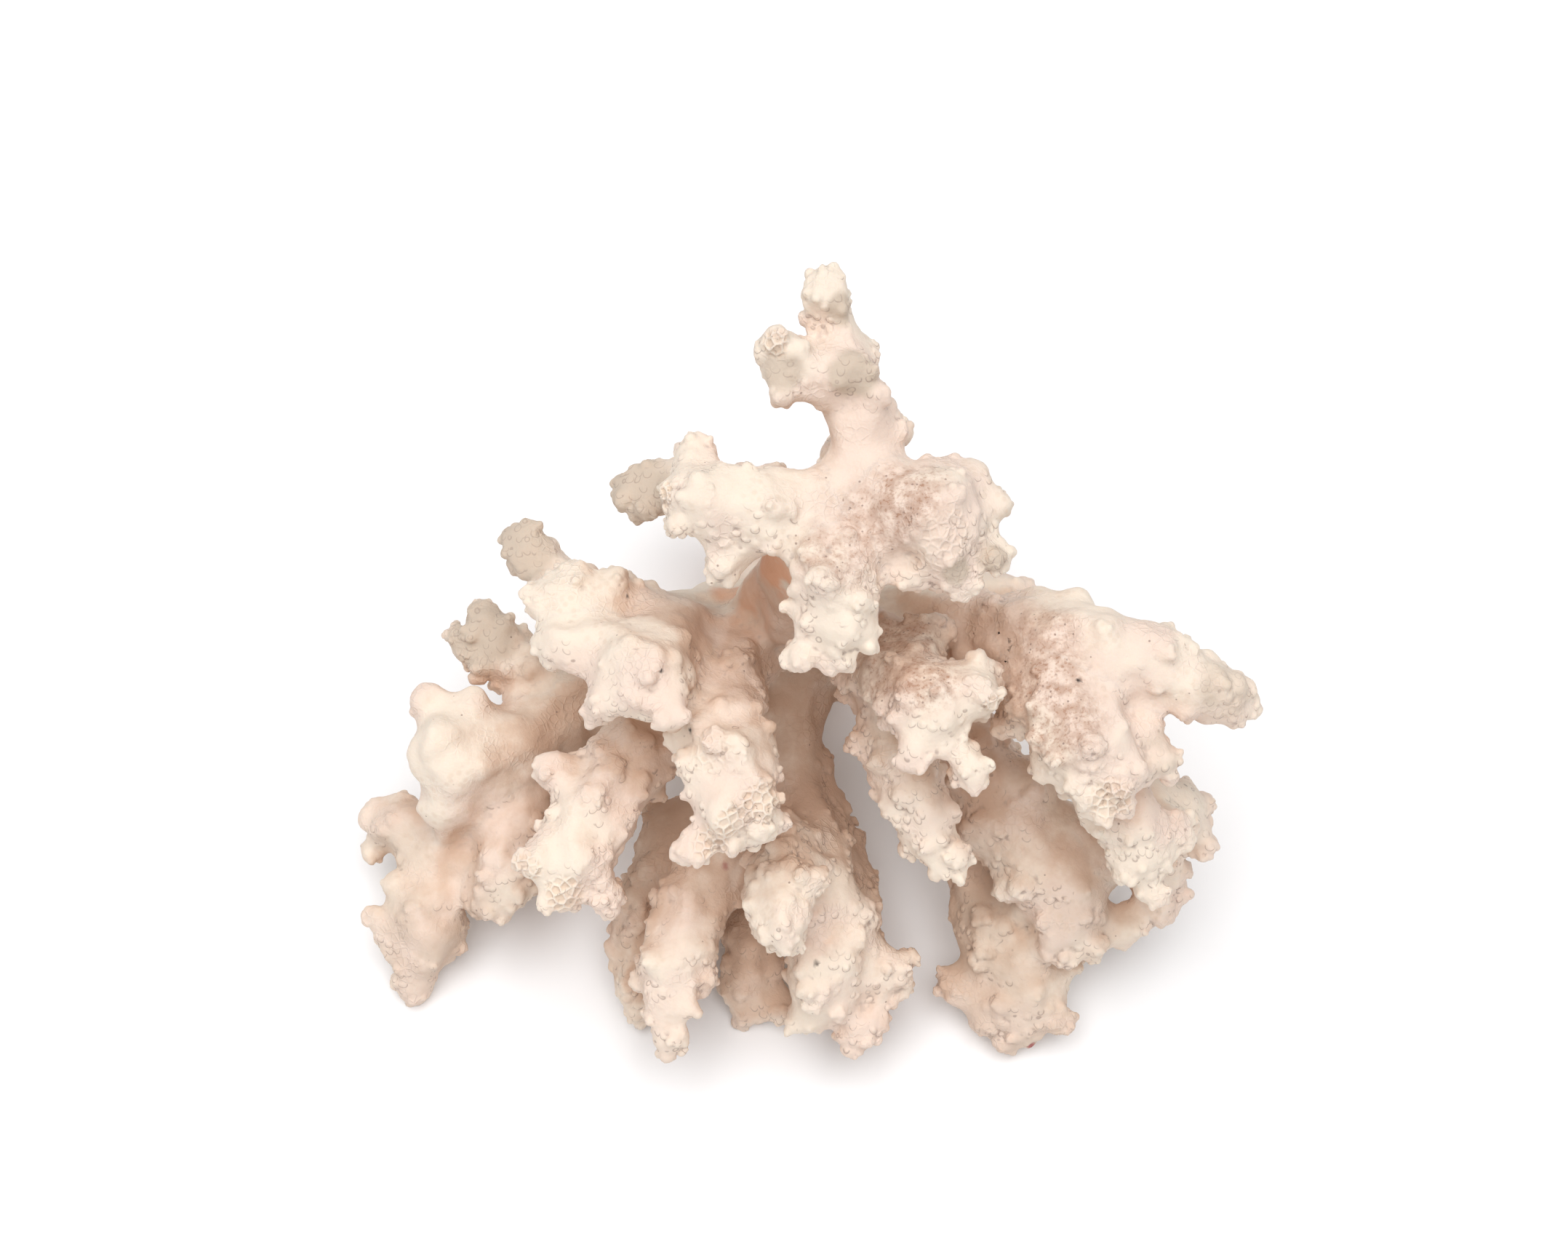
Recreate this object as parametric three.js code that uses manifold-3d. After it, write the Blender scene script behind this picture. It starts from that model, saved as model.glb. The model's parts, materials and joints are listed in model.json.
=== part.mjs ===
// The bleached skeleton of a small branching coral, about 134 mm across, cut off flat where it grew on rock.
// Millimetres, +Z up. The origin is the middle of the flat cut that it stands on, and -Y is its front.
// A short leaning stock forks into a crown, a left side, a front and a right side. Each main branch is a mesh
// of its own, and its end lobes and warts are joined to it, as they grew.
import * as THREE from "three";
import { mergeVertices } from "three/addons/utils/BufferGeometryUtils.js";
import Module from "manifold-3d";

const wasm = await Module();
wasm.setup();

// Driving dimensions, in millimetres unless the name says otherwise
const FORK_GAP = 0.3; // clear space where one branch meets another
const ROW_SPACING = 5; // between rows of a branch's surface points
const ROW_SHARE = 0.7; // the same as a share of the radius, on a shoot so thick that this is more
const SLIM_RADIUS = 5.1; // a shoot that stays slimmer than this has fewer sides
const SLIM_SIDES = 6; // sides come in threes, because of the warts
const STOUT_SIDES = 9;
const POINTS_PER_WART = 3; // a wart takes one point in three
const FEWEST_ROWS = 4;
const WART_HEIGHT = 1.1; // how far a wart stands out of its branch
const WART_LEAN = 1.0; // how far a wart leans towards the branch's tip
const WART_VARIETY = 0.5; // share by which warts differ in height and lean
const VALLEY_DEPTH = 0.2; // how far the surface sinks between warts
const LOBE_SWELL = 1.12; // a faceted lobe is this much larger, so that its faces lie at its real radius
const LOBE_SIDES = 5;
const LOBE_ROWS = 2;
const LOBE_WAIST = 0.5; // a lobe's points further back than this share of its radius lie on the spine
const MERGE_DISTANCE = 1e-4; // points closer than this are one point
const SPINE_STEPS = 40; // steps along a spine when its nearest point is looked for
const TABLE_REACH = 200; // wide enough to trim every low tip at the level of the cut
const SEED = 7;
const SEEDS_APART = 10; // from one branch's first seed to the next branch's

const bleached = new THREE.MeshStandardMaterial({
  color: 0xf2e6d6,
  roughness: 0.92,
  metalness: 0,
});
const stained = new THREE.MeshStandardMaterial({
  color: 0xe2bf93,
  roughness: 0.94,
  metalness: 0,
});

// A shoot is a list of [x, y, z, radius] along its middle, from its root to its tip.
// A lobe is one [x, y, z, radius] at its round end, and it grows out of the nearest shoot of its branch.
const stock = [
  {
    name: "base_stock",
    material: stained,
    shoots: [
      [[0, 1, -8, 15], [0, -2, 6, 14], [0, -10, 18, 11.5], [0, -17, 28, 9.5], [1, -22, 36, 8]],
    ],
    lobes: [],
  },
];

const crown = [
  {
    name: "crown_stem",
    shoots: [
      [[1, -21, 38, 8], [2, -25, 50, 7.4], [5, -29, 68, 6.6], [8, -31, 82, 7]],
    ],
    lobes: [],
  },
  {
    name: "crown_top_branch",
    shoots: [
      [[9, -30, 84, 5.6], [11, -23, 88, 4.2], [10, -18, 92, 3.6], [7.5, -12.5, 97, 2.6], [5, -6.5, 105, 2.3]],
      [[8, -18, 94, 3.2], [3, -18, 98, 2.9], [-2, -16, 102, 3]],
    ],
    lobes: [[9, -18, 99, 3.2], [7.5, -10, 103, 1.8], [12, -21, 95, 2.4], [11, -13, 95, 2], [0, -20, 98, 2.6]],
  },
  {
    name: "crown_left_branch",
    shoots: [
      [[4, -31, 84, 6.2], [-3, -32, 86, 5.2], [-9, -32, 88, 4.8], [-14, -33, 90, 3.6]],
    ],
    lobes: [[-12, -25, 87, 3.3], [-8, -38, 82, 3.4], [-2, -36, 86, 3.2]],
  },
  {
    name: "crown_back_branch",
    shoots: [
      [[-1, -25, 78, 4], [-9, -22, 75, 3.6], [-18, -20, 72, 3.4], [-23, -21, 72, 2.6]],
    ],
    lobes: [[-18, -18, 74, 2.4]],
  },
  {
    name: "crown_right_branch",
    shoots: [
      [[11, -30, 84, 5.8], [16, -32, 86, 6], [21, -34, 87, 6.4]],
    ],
    lobes: [
      [20, -27, 87, 3.2], [25, -27, 86, 2.8], [29, -30, 84, 2.4], [29, -37, 82, 2.6],
      [23, -40, 81, 3], [17, -39, 81, 3], [14, -36, 82, 4.2],
    ],
  },
  {
    name: "crown_rear_branch",
    shoots: [
      [[5, -28, 71, 4.6], [10, -19, 74, 4.2], [13, -10, 73, 3.8]],
    ],
    lobes: [[14, -9, 70, 2.6]],
  },
  {
    name: "crown_front_branch",
    shoots: [
      [[6, -34, 82, 5.4], [7, -41, 83, 5.2], [6.5, -46, 80, 5]],
    ],
    lobes: [[11, -47, 79, 2.2], [2, -50, 77, 2.2], [6, -50, 77, 2.4], [5, -44, 88, 2.6]],
  },
];

const leftSide = [
  {
    name: "left_arm",
    shoots: [
      [
        [-1, -22, 37, 7.4], [-10, -24, 40, 6.2], [-19, -26, 43, 4.8],
        [-28, -24, 48, 3.7], [-34, -21, 51, 3.1], [-39, -17, 53, 3.1],
      ],
    ],
    lobes: [[-38, -17, 55, 2.2]],
  },
  {
    name: "left_upper_branch",
    shoots: [
      [[-16, -27, 45, 5], [-23, -30, 55, 4.7], [-30, -31, 59, 4], [-35, -31, 61, 2.9]],
    ],
    lobes: [[-24, -28, 61, 2.6], [-30, -27, 61, 2.4]],
  },
  {
    name: "left_bright_branch",
    shoots: [
      [[-14, -28, 46, 5], [-18, -37, 56, 5.8], [-20, -46, 63, 5.8]],
      [[-20, -39, 59, 4.4], [-28, -39, 61, 3.7], [-34, -38, 60, 2.8]],
    ],
    lobes: [[-15, -51, 64, 2.8], [-26, -48, 60, 2.8], [-15, -39, 62, 2.6]],
  },
  {
    name: "left_low_arm",
    shoots: [
      [[-2, -21, 30, 5.6], [-9, -23, 28, 5.2], [-17, -24, 26, 5], [-29, -27, 25, 5.2], [-36, -31, 24, 5.2]],
    ],
    lobes: [],
  },
  {
    name: "left_lower_branch",
    shoots: [
      [
        [-12, -28, 33, 4.6], [-17, -36, 36, 4.8], [-21, -43, 38, 5.4],
        [-26, -50, 38, 5.8], [-29, -57, 38, 5.4], [-30, -63, 37, 4.6],
      ],
    ],
    lobes: [[-33, -67, 36, 2.6], [-25, -65, 34, 2.6], [-36, -62, 40, 2.8], [-34, -48, 42, 3]],
  },
  {
    name: "left_back_branch",
    shoots: [
      [[-35, -29, 25, 5], [-41, -24, 28, 4.5], [-46, -19, 31, 3.8]],
    ],
    lobes: [[-46, -17, 33, 2.8], [-49, -22, 30, 2.6]],
  },
  {
    name: "left_outer_branch",
    shoots: [
      [[-35, -31, 24, 5.4], [-42, -37, 26, 6], [-50, -40, 29, 7.2]],
    ],
    lobes: [
      [-54, -32, 33, 2.6], [-46.5, -31.5, 33, 2.6], [-51, -40, 33, 5.4], [-40, -38, 30, 3], [-51, -46, 23, 4.6],
    ],
  },
  {
    name: "left_inner_branch",
    shoots: [
      [[-38, -35, 22, 5], [-41, -45, 20, 4.4], [-42, -51, 18, 4.6], [-42, -56, 16, 4.2]],
    ],
    lobes: [[-46, -58, 15, 2.6]],
  },
  {
    name: "left_far_branch",
    shoots: [
      [
        [-38, -35, 19, 4.6], [-44, -41, 16, 4.8], [-49, -46, 13, 5.2],
        [-54, -51, 11, 5.2], [-55, -57, 9, 5.8], [-56, -62, 7, 5],
      ],
      [[-51, -47, 13, 4.8], [-58, -44, 13, 4.6], [-62, -41, 14, 3.4]],
    ],
    lobes: [[-57, -66, 1.5, 2.6], [-64, -46, 9, 2.4], [-62, -58, 9, 2.6]],
  },
];

const frontSide = [
  {
    name: "left_front_branch",
    shoots: [
      [
        [-4, -26, 42, 6], [-8, -34, 47, 5.6], [-9, -42, 51, 5.6],
        [-9, -50, 54, 5.9], [-7, -57, 54, 6], [-7, -62, 52, 5],
      ],
    ],
    lobes: [[-12, -65, 50, 2.6], [-2, -61, 51, 2.8], [-7, -54, 60, 2.8]],
  },
  {
    name: "centre_stem",
    shoots: [
      [[1, -22, 32, 6], [1, -29, 28, 5.1], [0, -37, 24, 4.8], [-0.5, -45, 22, 4.8]],
    ],
    lobes: [],
  },
  {
    name: "front_left_branch",
    shoots: [
      [[-1, -43, 22, 5.2], [-7, -51, 22, 5.2], [-13, -60, 22, 4.8], [-16, -69, 20, 4.6], [-17, -76, 17, 3.8]],
    ],
    lobes: [[-17, -80, 14, 2.6], [-19, -71, 24, 2.8]],
  },
  {
    name: "front_low_left_branch",
    shoots: [
      [
        [-3, -39, 18, 4.8], [-10, -42, 16, 5], [-16, -47, 15, 5.2],
        [-20, -54, 13, 4.6], [-22, -62, 10, 3.8], [-23, -68, 6, 3.2],
      ],
    ],
    lobes: [[-22, -71, 3, 2.4]],
  },
  {
    name: "front_right_branch",
    shoots: [
      [[1, -45, 22, 5.2], [4, -55, 25, 5.2], [6, -64, 24, 5.8], [6, -71, 19, 5.6]],
      [[8, -67, 20, 4.6], [14, -69, 17, 3.6], [17, -70, 15, 2.6]],
    ],
    lobes: [[3, -76, 13, 2.8], [11, -77, 12, 3.2], [8, -74, 17, 3], [11, -63, 25, 2.6]],
  },
  {
    name: "front_knob_branch",
    shoots: [
      [[1, -53, 28, 4.4], [0, -60, 33, 4.4], [0, -66, 36, 4.4], [0, -72, 36, 3.6]],
    ],
    lobes: [[3, -64, 38, 2.8]],
  },
  {
    name: "front_low_branch",
    shoots: [
      [[0, -41, 15, 4.2], [-2, -49, 12, 4.4], [-4, -57, 9, 4.4], [-5, -64, 7, 4.3], [-5, -68, 4.5, 3.5]],
    ],
    lobes: [[-6, -71, 1.6, 2.4], [0, -70, 4, 2.8]],
  },
  {
    name: "front_side_branch",
    shoots: [
      [[1.5, -37, 23, 4.4], [4.8, -45, 20, 4.2], [8.3, -51.5, 17.2, 3.9], [12, -58, 13.5, 3.3]],
    ],
    lobes: [[10, -56, 18, 2.6]],
  },
];

const rightSide = [
  {
    name: "right_arm",
    shoots: [
      [[2, -21, 37, 6.4], [8, -23, 41, 5.8], [14, -26, 45, 5.4], [24, -30, 51, 5.2], [33, -35, 57, 5.4]],
    ],
    lobes: [[31, -40, 60, 2.6]],
  },
  {
    name: "right_back_branch",
    shoots: [
      [[9, -18, 37, 5], [16, -19, 41, 4.8], [24, -21, 44, 4.5], [35, -24, 47, 3.5]],
    ],
    lobes: [],
  },
  {
    name: "right_inner_branch",
    shoots: [
      [[12, -27, 45, 5.2], [14, -35, 52, 5.4], [17, -44, 60, 5.6], [20, -51, 65, 5.2]],
      [[22, -48, 65, 4], [28, -50, 67, 2.8]],
    ],
    lobes: [
      [18, -57, 63, 2.8], [26, -58, 60, 2.8], [27, -45, 66, 2.8], [20, -37, 61, 3.2], [11, -39, 54, 2.6],
    ],
  },
  {
    name: "right_finger_branch",
    shoots: [
      [
        [12, -32, 46, 4.8], [14, -38, 48, 4.6], [15.5, -46, 49, 4.6],
        [17.5, -53, 47.5, 4.5], [20.5, -58.5, 45, 3.6], [24.5, -65, 41, 2.2],
      ],
    ],
    lobes: [[18, -60, 42.5, 2]],
  },
  {
    name: "right_outer_branch",
    shoots: [
      [[33, -34, 57, 5.4], [40, -39, 61, 5.8], [48, -42, 63, 5], [56, -44, 61, 4.2], [65, -46, 56, 3]],
    ],
    lobes: [[41, -32, 61, 3], [35, -31, 60, 2.6], [44, -41, 68, 2.6]],
  },
  {
    name: "right_middle_branch",
    shoots: [
      [[34, -36, 56, 5], [36, -43, 59, 5.2], [40, -49, 61, 5.6], [43, -55, 60, 5.6], [46, -59, 57, 4.4]],
    ],
    lobes: [
      [53, -54, 56, 2.8], [50, -50, 58, 2.6], [37, -54, 55, 3.4], [43, -61, 55, 2.8], [33, -47, 54, 3.6],
    ],
  },
  {
    name: "right_lower_branch",
    shoots: [
      [[41, -48, 52, 4.4], [45, -53, 48, 4.6], [48, -57, 45, 4.8], [52, -61, 41, 4.4]],
    ],
    lobes: [[52, -65, 36, 2.6], [57, -57, 41, 3]],
  },
  {
    name: "right_fan_branch",
    shoots: [
      [
        [8, -22, 33, 5], [16, -27, 33, 5], [24, -34, 32, 5],
        [29, -41, 30, 5.2], [34, -49, 27, 5.6], [39, -56, 24, 6], [44, -61, 20, 5],
      ],
    ],
    lobes: [
      [28, -51, 27, 2.8], [33, -59, 24, 2.8], [40, -66, 18, 2.8], [46, -66, 16, 2.8], [52, -62, 17, 2.8],
      [37, -46, 31, 4.5], [42, -52, 27, 3.6],
    ],
  },
  {
    name: "right_far_branch",
    shoots: [
      [[46, -50, 42, 3.8], [52, -51, 38, 3.6], [57, -51, 34, 3.6], [62, -51, 31, 3]],
    ],
    lobes: [[62, -54, 28, 2.4]],
  },
  {
    name: "right_far_low_branch",
    shoots: [
      [[39, -50, 27, 3.8], [47, -52, 26, 3.8], [55, -55, 23, 4], [58, -57, 20, 3.8]],
    ],
    lobes: [[57, -60, 17, 2.4]],
  },
  {
    name: "right_floor_branch",
    shoots: [
      [
        [7, -21, 27, 5], [16, -25, 25, 4.8], [24, -32, 22, 4.6],
        [29, -43, 17, 4.7], [31, -54, 13, 5.4], [34, -63, 10, 6.2], [36, -70, 7, 5.4],
      ],
    ],
    lobes: [
      [26, -68, 7, 3.2], [43, -64, 9, 3], [41, -72, 6, 3.4], [35, -75, 3, 3], [40, -67, 9, 4], [31, -72, 5, 3.6],
    ],
  },
];

const backSide = [
  {
    name: "back_left_branch",
    shoots: [
      [[-3, 1, 18, 6], [-8, 6, 21, 5], [-14, 12, 23, 4.2]],
    ],
    lobes: [[-13, 16, 20, 2.8]],
  },
  {
    name: "back_right_branch",
    shoots: [
      [[4, 0, 18, 6], [12, 5, 21, 5], [21, 10, 24, 4.2]],
    ],
    lobes: [[20, 15, 22, 2.8]],
  },
  {
    name: "back_upper_branch",
    shoots: [
      [[3, -12, 38, 5], [9, -2, 40, 4.8], [12, 8, 41, 4.4], [14, 16, 40, 3.6]],
    ],
    lobes: [[10, 14, 44, 2.8]],
  },
];

const branches = [...stock, ...crown, ...leftSide, ...frontSide, ...rightSide, ...backSide];

// A number from 0 to 1 that looks random and is the same each time for the same three whole numbers.
function scatter(a, b, c) {
  let mixed = Math.imul(a + SEED, 0x9e3779b1) ^ Math.imul(b + 1, 0x85ebca6b) ^ Math.imul(c + 1, 0xc2b2ae35);
  mixed = Math.imul(mixed ^ (mixed >>> 15), 0x2c1b3c6d);
  mixed = Math.imul(mixed ^ (mixed >>> 12), 0x297a2d39);
  return ((mixed ^ (mixed >>> 15)) >>> 0) / 2 ** 32;
}

// The closed geometry as a solid, its points merged by place and its surface moved out by the grown distance.
function solidOf(geometry, grown = 0) {
  geometry.deleteAttribute("normal");
  geometry.deleteAttribute("uv");
  const merged = mergeVertices(geometry, MERGE_DISTANCE);
  merged.computeVertexNormals();
  const { position, normal } = merged.attributes;
  for (let i = 0; i < position.count; i++) {
    const place = new THREE.Vector3().fromBufferAttribute(position, i);
    place.addScaledVector(new THREE.Vector3().fromBufferAttribute(normal, i), grown);
    position.setXYZ(i, place.x, place.y, place.z);
  }
  return new wasm.Manifold(
    new wasm.Mesh({
      numProp: 3,
      vertProperties: merged.attributes.position.array,
      triVerts: new Uint32Array(merged.index.array),
    }),
  );
}

// The middle line of a shoot, with its radius at any share of its length.
function spineOf(points) {
  const places = points.map(([x, y, z]) => new THREE.Vector3(x, y, z));
  const curve = new THREE.CatmullRomCurve3(places, false, "centripetal");
  const radiusAt = (share) => {
    const place = curve.getUtoTmapping(share) * (points.length - 1);
    const before = Math.min(Math.floor(place), points.length - 2);
    return THREE.MathUtils.lerp(points[before][3], points[before + 1][3], place - before);
  };
  return { curve, length: curve.getLength(), radiusAt };
}

// The nearest point to a place on a spine.
function nearestOn({ curve }, place) {
  const steps = curve.getSpacedPoints(SPINE_STEPS);
  return steps.reduce((best, point) => (point.distanceTo(place) < best.distanceTo(place) ? point : best));
}

// The points of a shoot's surface, by row along it and side round it. Each row is turned half a side from the
// last, so that the points stand in a triangular lattice, and one point in three is raised to a wart.
function shootSurface(points, seed) {
  const { curve, length, radiusAt } = spineOf(points);
  const rootRadius = points[0][3];
  const span = rootRadius + length + points.at(-1)[3];
  const widest = Math.max(...points.map((point) => point[3]));
  const sides = widest < SLIM_RADIUS ? SLIM_SIDES : STOUT_SIDES;
  const rows = Math.max(FEWEST_ROWS, Math.round(span / Math.max(ROW_SPACING, widest * ROW_SHARE)));
  const frames = curve.computeFrenetFrames(rows, false);
  const surface = [];
  for (let row = 0; row <= rows; row++) {
    const along = (row / rows) * span - rootRadius;
    const share = THREE.MathUtils.clamp(along / length, 0, 1);
    const past = along < 0 ? along : Math.max(0, along - length);
    const radius = radiusAt(share);
    const round = Math.sqrt(Math.max(0, 1 - (past / radius) ** 2));
    const frame = Math.round(share * rows);
    const tangent = frames.tangents[frame];
    const middle = curve.getPointAt(share).addScaledVector(tangent, past);
    surface.push([]);
    for (let side = 0; side < sides; side++) {
      const turn = (2 * Math.PI * (row / 2 - side)) / sides;
      const out = frames.normals[frame]
        .clone()
        .multiplyScalar(Math.cos(turn))
        .addScaledVector(frames.binormals[frame], Math.sin(turn));
      const isWart = (side + row) % POINTS_PER_WART === 0;
      const size = 1 + WART_VARIETY * (2 * scatter(seed, side, row) - 1);
      const rise = isWart ? WART_HEIGHT * size : -VALLEY_DEPTH;
      const lean = isWart ? WART_LEAN * size : 0;
      const isPole = row === 0 || row === rows;
      const place = middle.clone();
      if (!isPole) place.addScaledVector(out, radius * round + rise).addScaledVector(tangent, lean * round);
      surface[row].push(place);
    }
  }
  return surface;
}

// A lobe's solid: a bud that widens from the spine to its girth and closes over in a blunt point.
function lobeSolid([x, y, z, radius], spines, grown) {
  const girth = new THREE.Vector3(x, y, z);
  const roots = spines.map((spine) => nearestOn(spine, girth));
  const nearer = (best, point) => (point.distanceTo(girth) < best.distanceTo(girth) ? point : best);
  const root = roots.reduce(nearer);
  const axis = girth.clone().sub(root).normalize();
  const turn = new THREE.Quaternion().setFromUnitVectors(new THREE.Vector3(0, 1, 0), axis);
  const bud = new THREE.SphereGeometry(radius * LOBE_SWELL, LOBE_SIDES, LOBE_ROWS);
  const { position } = bud.attributes;
  for (let i = 0; i < position.count; i++) {
    const point = new THREE.Vector3().fromBufferAttribute(position, i).applyQuaternion(turn);
    const middle = point.dot(axis) < -radius * LOBE_WAIST ? root : girth;
    point.add(middle);
    position.setXYZ(i, point.x, point.y, point.z);
  }
  return solidOf(bud, grown);
}

// A closed solid from a shoot's surface points, on the grid of a sphere.
function solidOfSurface(surface, grown) {
  const rows = surface.length - 1;
  const sides = surface[0].length;
  const grid = new THREE.SphereGeometry(1, sides, rows);
  const { position } = grid.attributes;
  for (let i = 0; i < position.count; i++) {
    const place = surface[Math.floor(i / (sides + 1))][(i % (sides + 1)) % sides];
    position.setXYZ(i, place.x, place.y, place.z);
  }
  return solidOf(grid, grown);
}

// A branch's whole solid, its surface moved out by the grown distance.
function branchSolid(branch, index, grown) {
  const spines = branch.shoots.map(spineOf);
  const surfaces = branch.shoots.map((points, i) => shootSurface(points, SEEDS_APART * index + i));
  const shoots = surfaces.map((surface) => solidOfSurface(surface, grown));
  const lobes = branch.lobes.map((lobe) => lobeSolid(lobe, spines, grown));
  return [...shoots, ...lobes].reduce((joined, piece) => joined.add(piece));
}

// The largest of the bodies that a cut leaves.
function largestBody(solid) {
  const bodies = solid.decompose();
  return bodies.reduce((largest, body) => (body.volume() > largest.volume() ? body : largest));
}

function meshOf(solid, name, material) {
  const { vertProperties, triVerts } = solid.getMesh();
  const geometry = new THREE.BufferGeometry();
  geometry.setAttribute("position", new THREE.BufferAttribute(vertProperties, 3));
  geometry.setIndex(new THREE.BufferAttribute(triVerts, 1));
  geometry.computeVertexNormals();
  const mesh = new THREE.Mesh(geometry, material);
  mesh.name = name;
  return mesh;
}

// Everything below the flat cut, which also trims the low tips that the skeleton leans on
function belowTheCut() {
  const block = new THREE.BoxGeometry(TABLE_REACH, TABLE_REACH, TABLE_REACH);
  block.translate(0, 0, -TABLE_REACH / 2);
  return solidOf(block);
}

const coral = new THREE.Group();
const ground = belowTheCut();
let taken = null;
branches.forEach((branch, index) => {
  let solid = branchSolid(branch, index, 0).subtract(ground);
  if (taken) solid = largestBody(solid.subtract(taken));
  const room = branchSolid(branch, index, FORK_GAP);
  taken = taken ? taken.add(room) : room;
  coral.add(meshOf(solid, branch.name, branch.material ?? bleached));
});

export default coral;
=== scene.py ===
"""Looks of a bleached branching coral skeleton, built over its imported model.

The model holds one faceted solid for each stretch of branch between two forks. Here copies of those solids
are joined, rounded and webbed at the forks as they grew, covered with nubs and warts, pitted with the cups
where the living tissue sat, and parted again into one closed piece for each branch.
"""
import heapq
import json
import logging
import math
import random
from dataclasses import dataclass, field
from enum import Enum
from typing import Any

import bmesh
import bpy
import numpy as np
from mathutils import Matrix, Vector, kdtree
from mathutils.bvhtree import BVHTree

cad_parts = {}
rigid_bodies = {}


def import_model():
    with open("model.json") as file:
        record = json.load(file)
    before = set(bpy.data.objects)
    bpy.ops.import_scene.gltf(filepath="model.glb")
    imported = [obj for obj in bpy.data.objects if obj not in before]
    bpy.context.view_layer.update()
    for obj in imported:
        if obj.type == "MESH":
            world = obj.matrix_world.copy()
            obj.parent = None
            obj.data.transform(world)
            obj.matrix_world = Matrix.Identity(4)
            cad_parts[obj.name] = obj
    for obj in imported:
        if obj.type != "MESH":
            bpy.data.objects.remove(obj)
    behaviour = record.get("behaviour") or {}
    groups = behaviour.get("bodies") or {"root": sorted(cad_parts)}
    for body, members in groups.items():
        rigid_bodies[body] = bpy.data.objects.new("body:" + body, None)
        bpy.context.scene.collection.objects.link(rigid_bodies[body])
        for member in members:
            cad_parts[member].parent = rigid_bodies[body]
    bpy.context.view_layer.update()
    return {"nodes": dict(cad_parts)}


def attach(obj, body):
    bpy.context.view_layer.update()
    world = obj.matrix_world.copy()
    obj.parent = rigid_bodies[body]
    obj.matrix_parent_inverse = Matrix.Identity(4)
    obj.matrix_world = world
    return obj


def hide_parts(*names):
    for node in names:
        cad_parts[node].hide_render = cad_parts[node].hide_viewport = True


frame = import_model()

MM = 0.001
PHOTO_PIXELS = (2156, 1725)
BODY = "root"
SKY_WHITE = (1, 1, 1, 1)
NOISE_MIDDLE = 0.5  # what soft noise gives on average
SUM_START = 0.001  # keeps a sum of shares above 0, so that it can divide
SCALE_SIZE = 1.6  # between the middles of the skin's small scales, in mm
SCALE_BEND = 0.9  # how far the scales' outlines are bent, as a share of their size
SCALE_RIM = 0.42  # how far a scale's rim lies from its middle, in the same share
SCALE_LINE = 0.07  # half the width of the line at the rim, in the same share
DOWNHILL = (0.0, -0.7, -0.7)  # the side of a scale under whose rim the thin dark line is drawn: painted shade with some dirt
UP = (0, 0, 1)

log = logging.getLogger("coral")


class Value:
    """A number that a node socket carries. Python arithmetic on it adds Math nodes."""

    def __init__(self, graph: "Graph", socket: bpy.types.NodeSocket) -> None:
        """Wraps a socket of a graph."""
        self.graph = graph
        self.socket = socket

    def math(self, operation: str, *others: Any, clamp: bool = False) -> "Value":
        """Adds one Math node.

        Args:
            operation: The node's operation.
            others: Its further inputs, numbers or Values.
            clamp: Whether the result is kept from 0 to 1.

        Returns:
            The node's result.
        """
        settings = {"operation": operation, "use_clamp": clamp}
        inputs = dict(enumerate((self, *others)))
        return self.graph.value("ShaderNodeMath", settings, inputs)

    def __add__(self, other: Any) -> "Value":
        """Sum."""
        return self.math("ADD", other)

    def __sub__(self, other: Any) -> "Value":
        """Difference."""
        return self.math("SUBTRACT", other)

    def __mul__(self, other: Any) -> "Value":
        """Product."""
        return self.math("MULTIPLY", other)

    def __truediv__(self, other: Any) -> "Value":
        """Quotient."""
        return self.math("DIVIDE", other)

    def __rsub__(self, other: float) -> "Value":
        """Difference with a plain number first."""
        return self.graph.constant(other).math("SUBTRACT", self)

    __radd__ = __add__
    __rmul__ = __mul__

    def ramp(self, low: float, high: float) -> "Value":
        """A smooth rise from 0 at low to 1 at high, or a fall where low is the larger.

        Args:
            low: The value that gives 0.
            high: The value that gives 1.

        Returns:
            The eased share.
        """
        settings = {"interpolation_type": "SMOOTHSTEP"}
        inputs = {"Value": self, "From Min": low, "From Max": high}
        return self.graph.value("ShaderNodeMapRange", settings, inputs)


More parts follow.
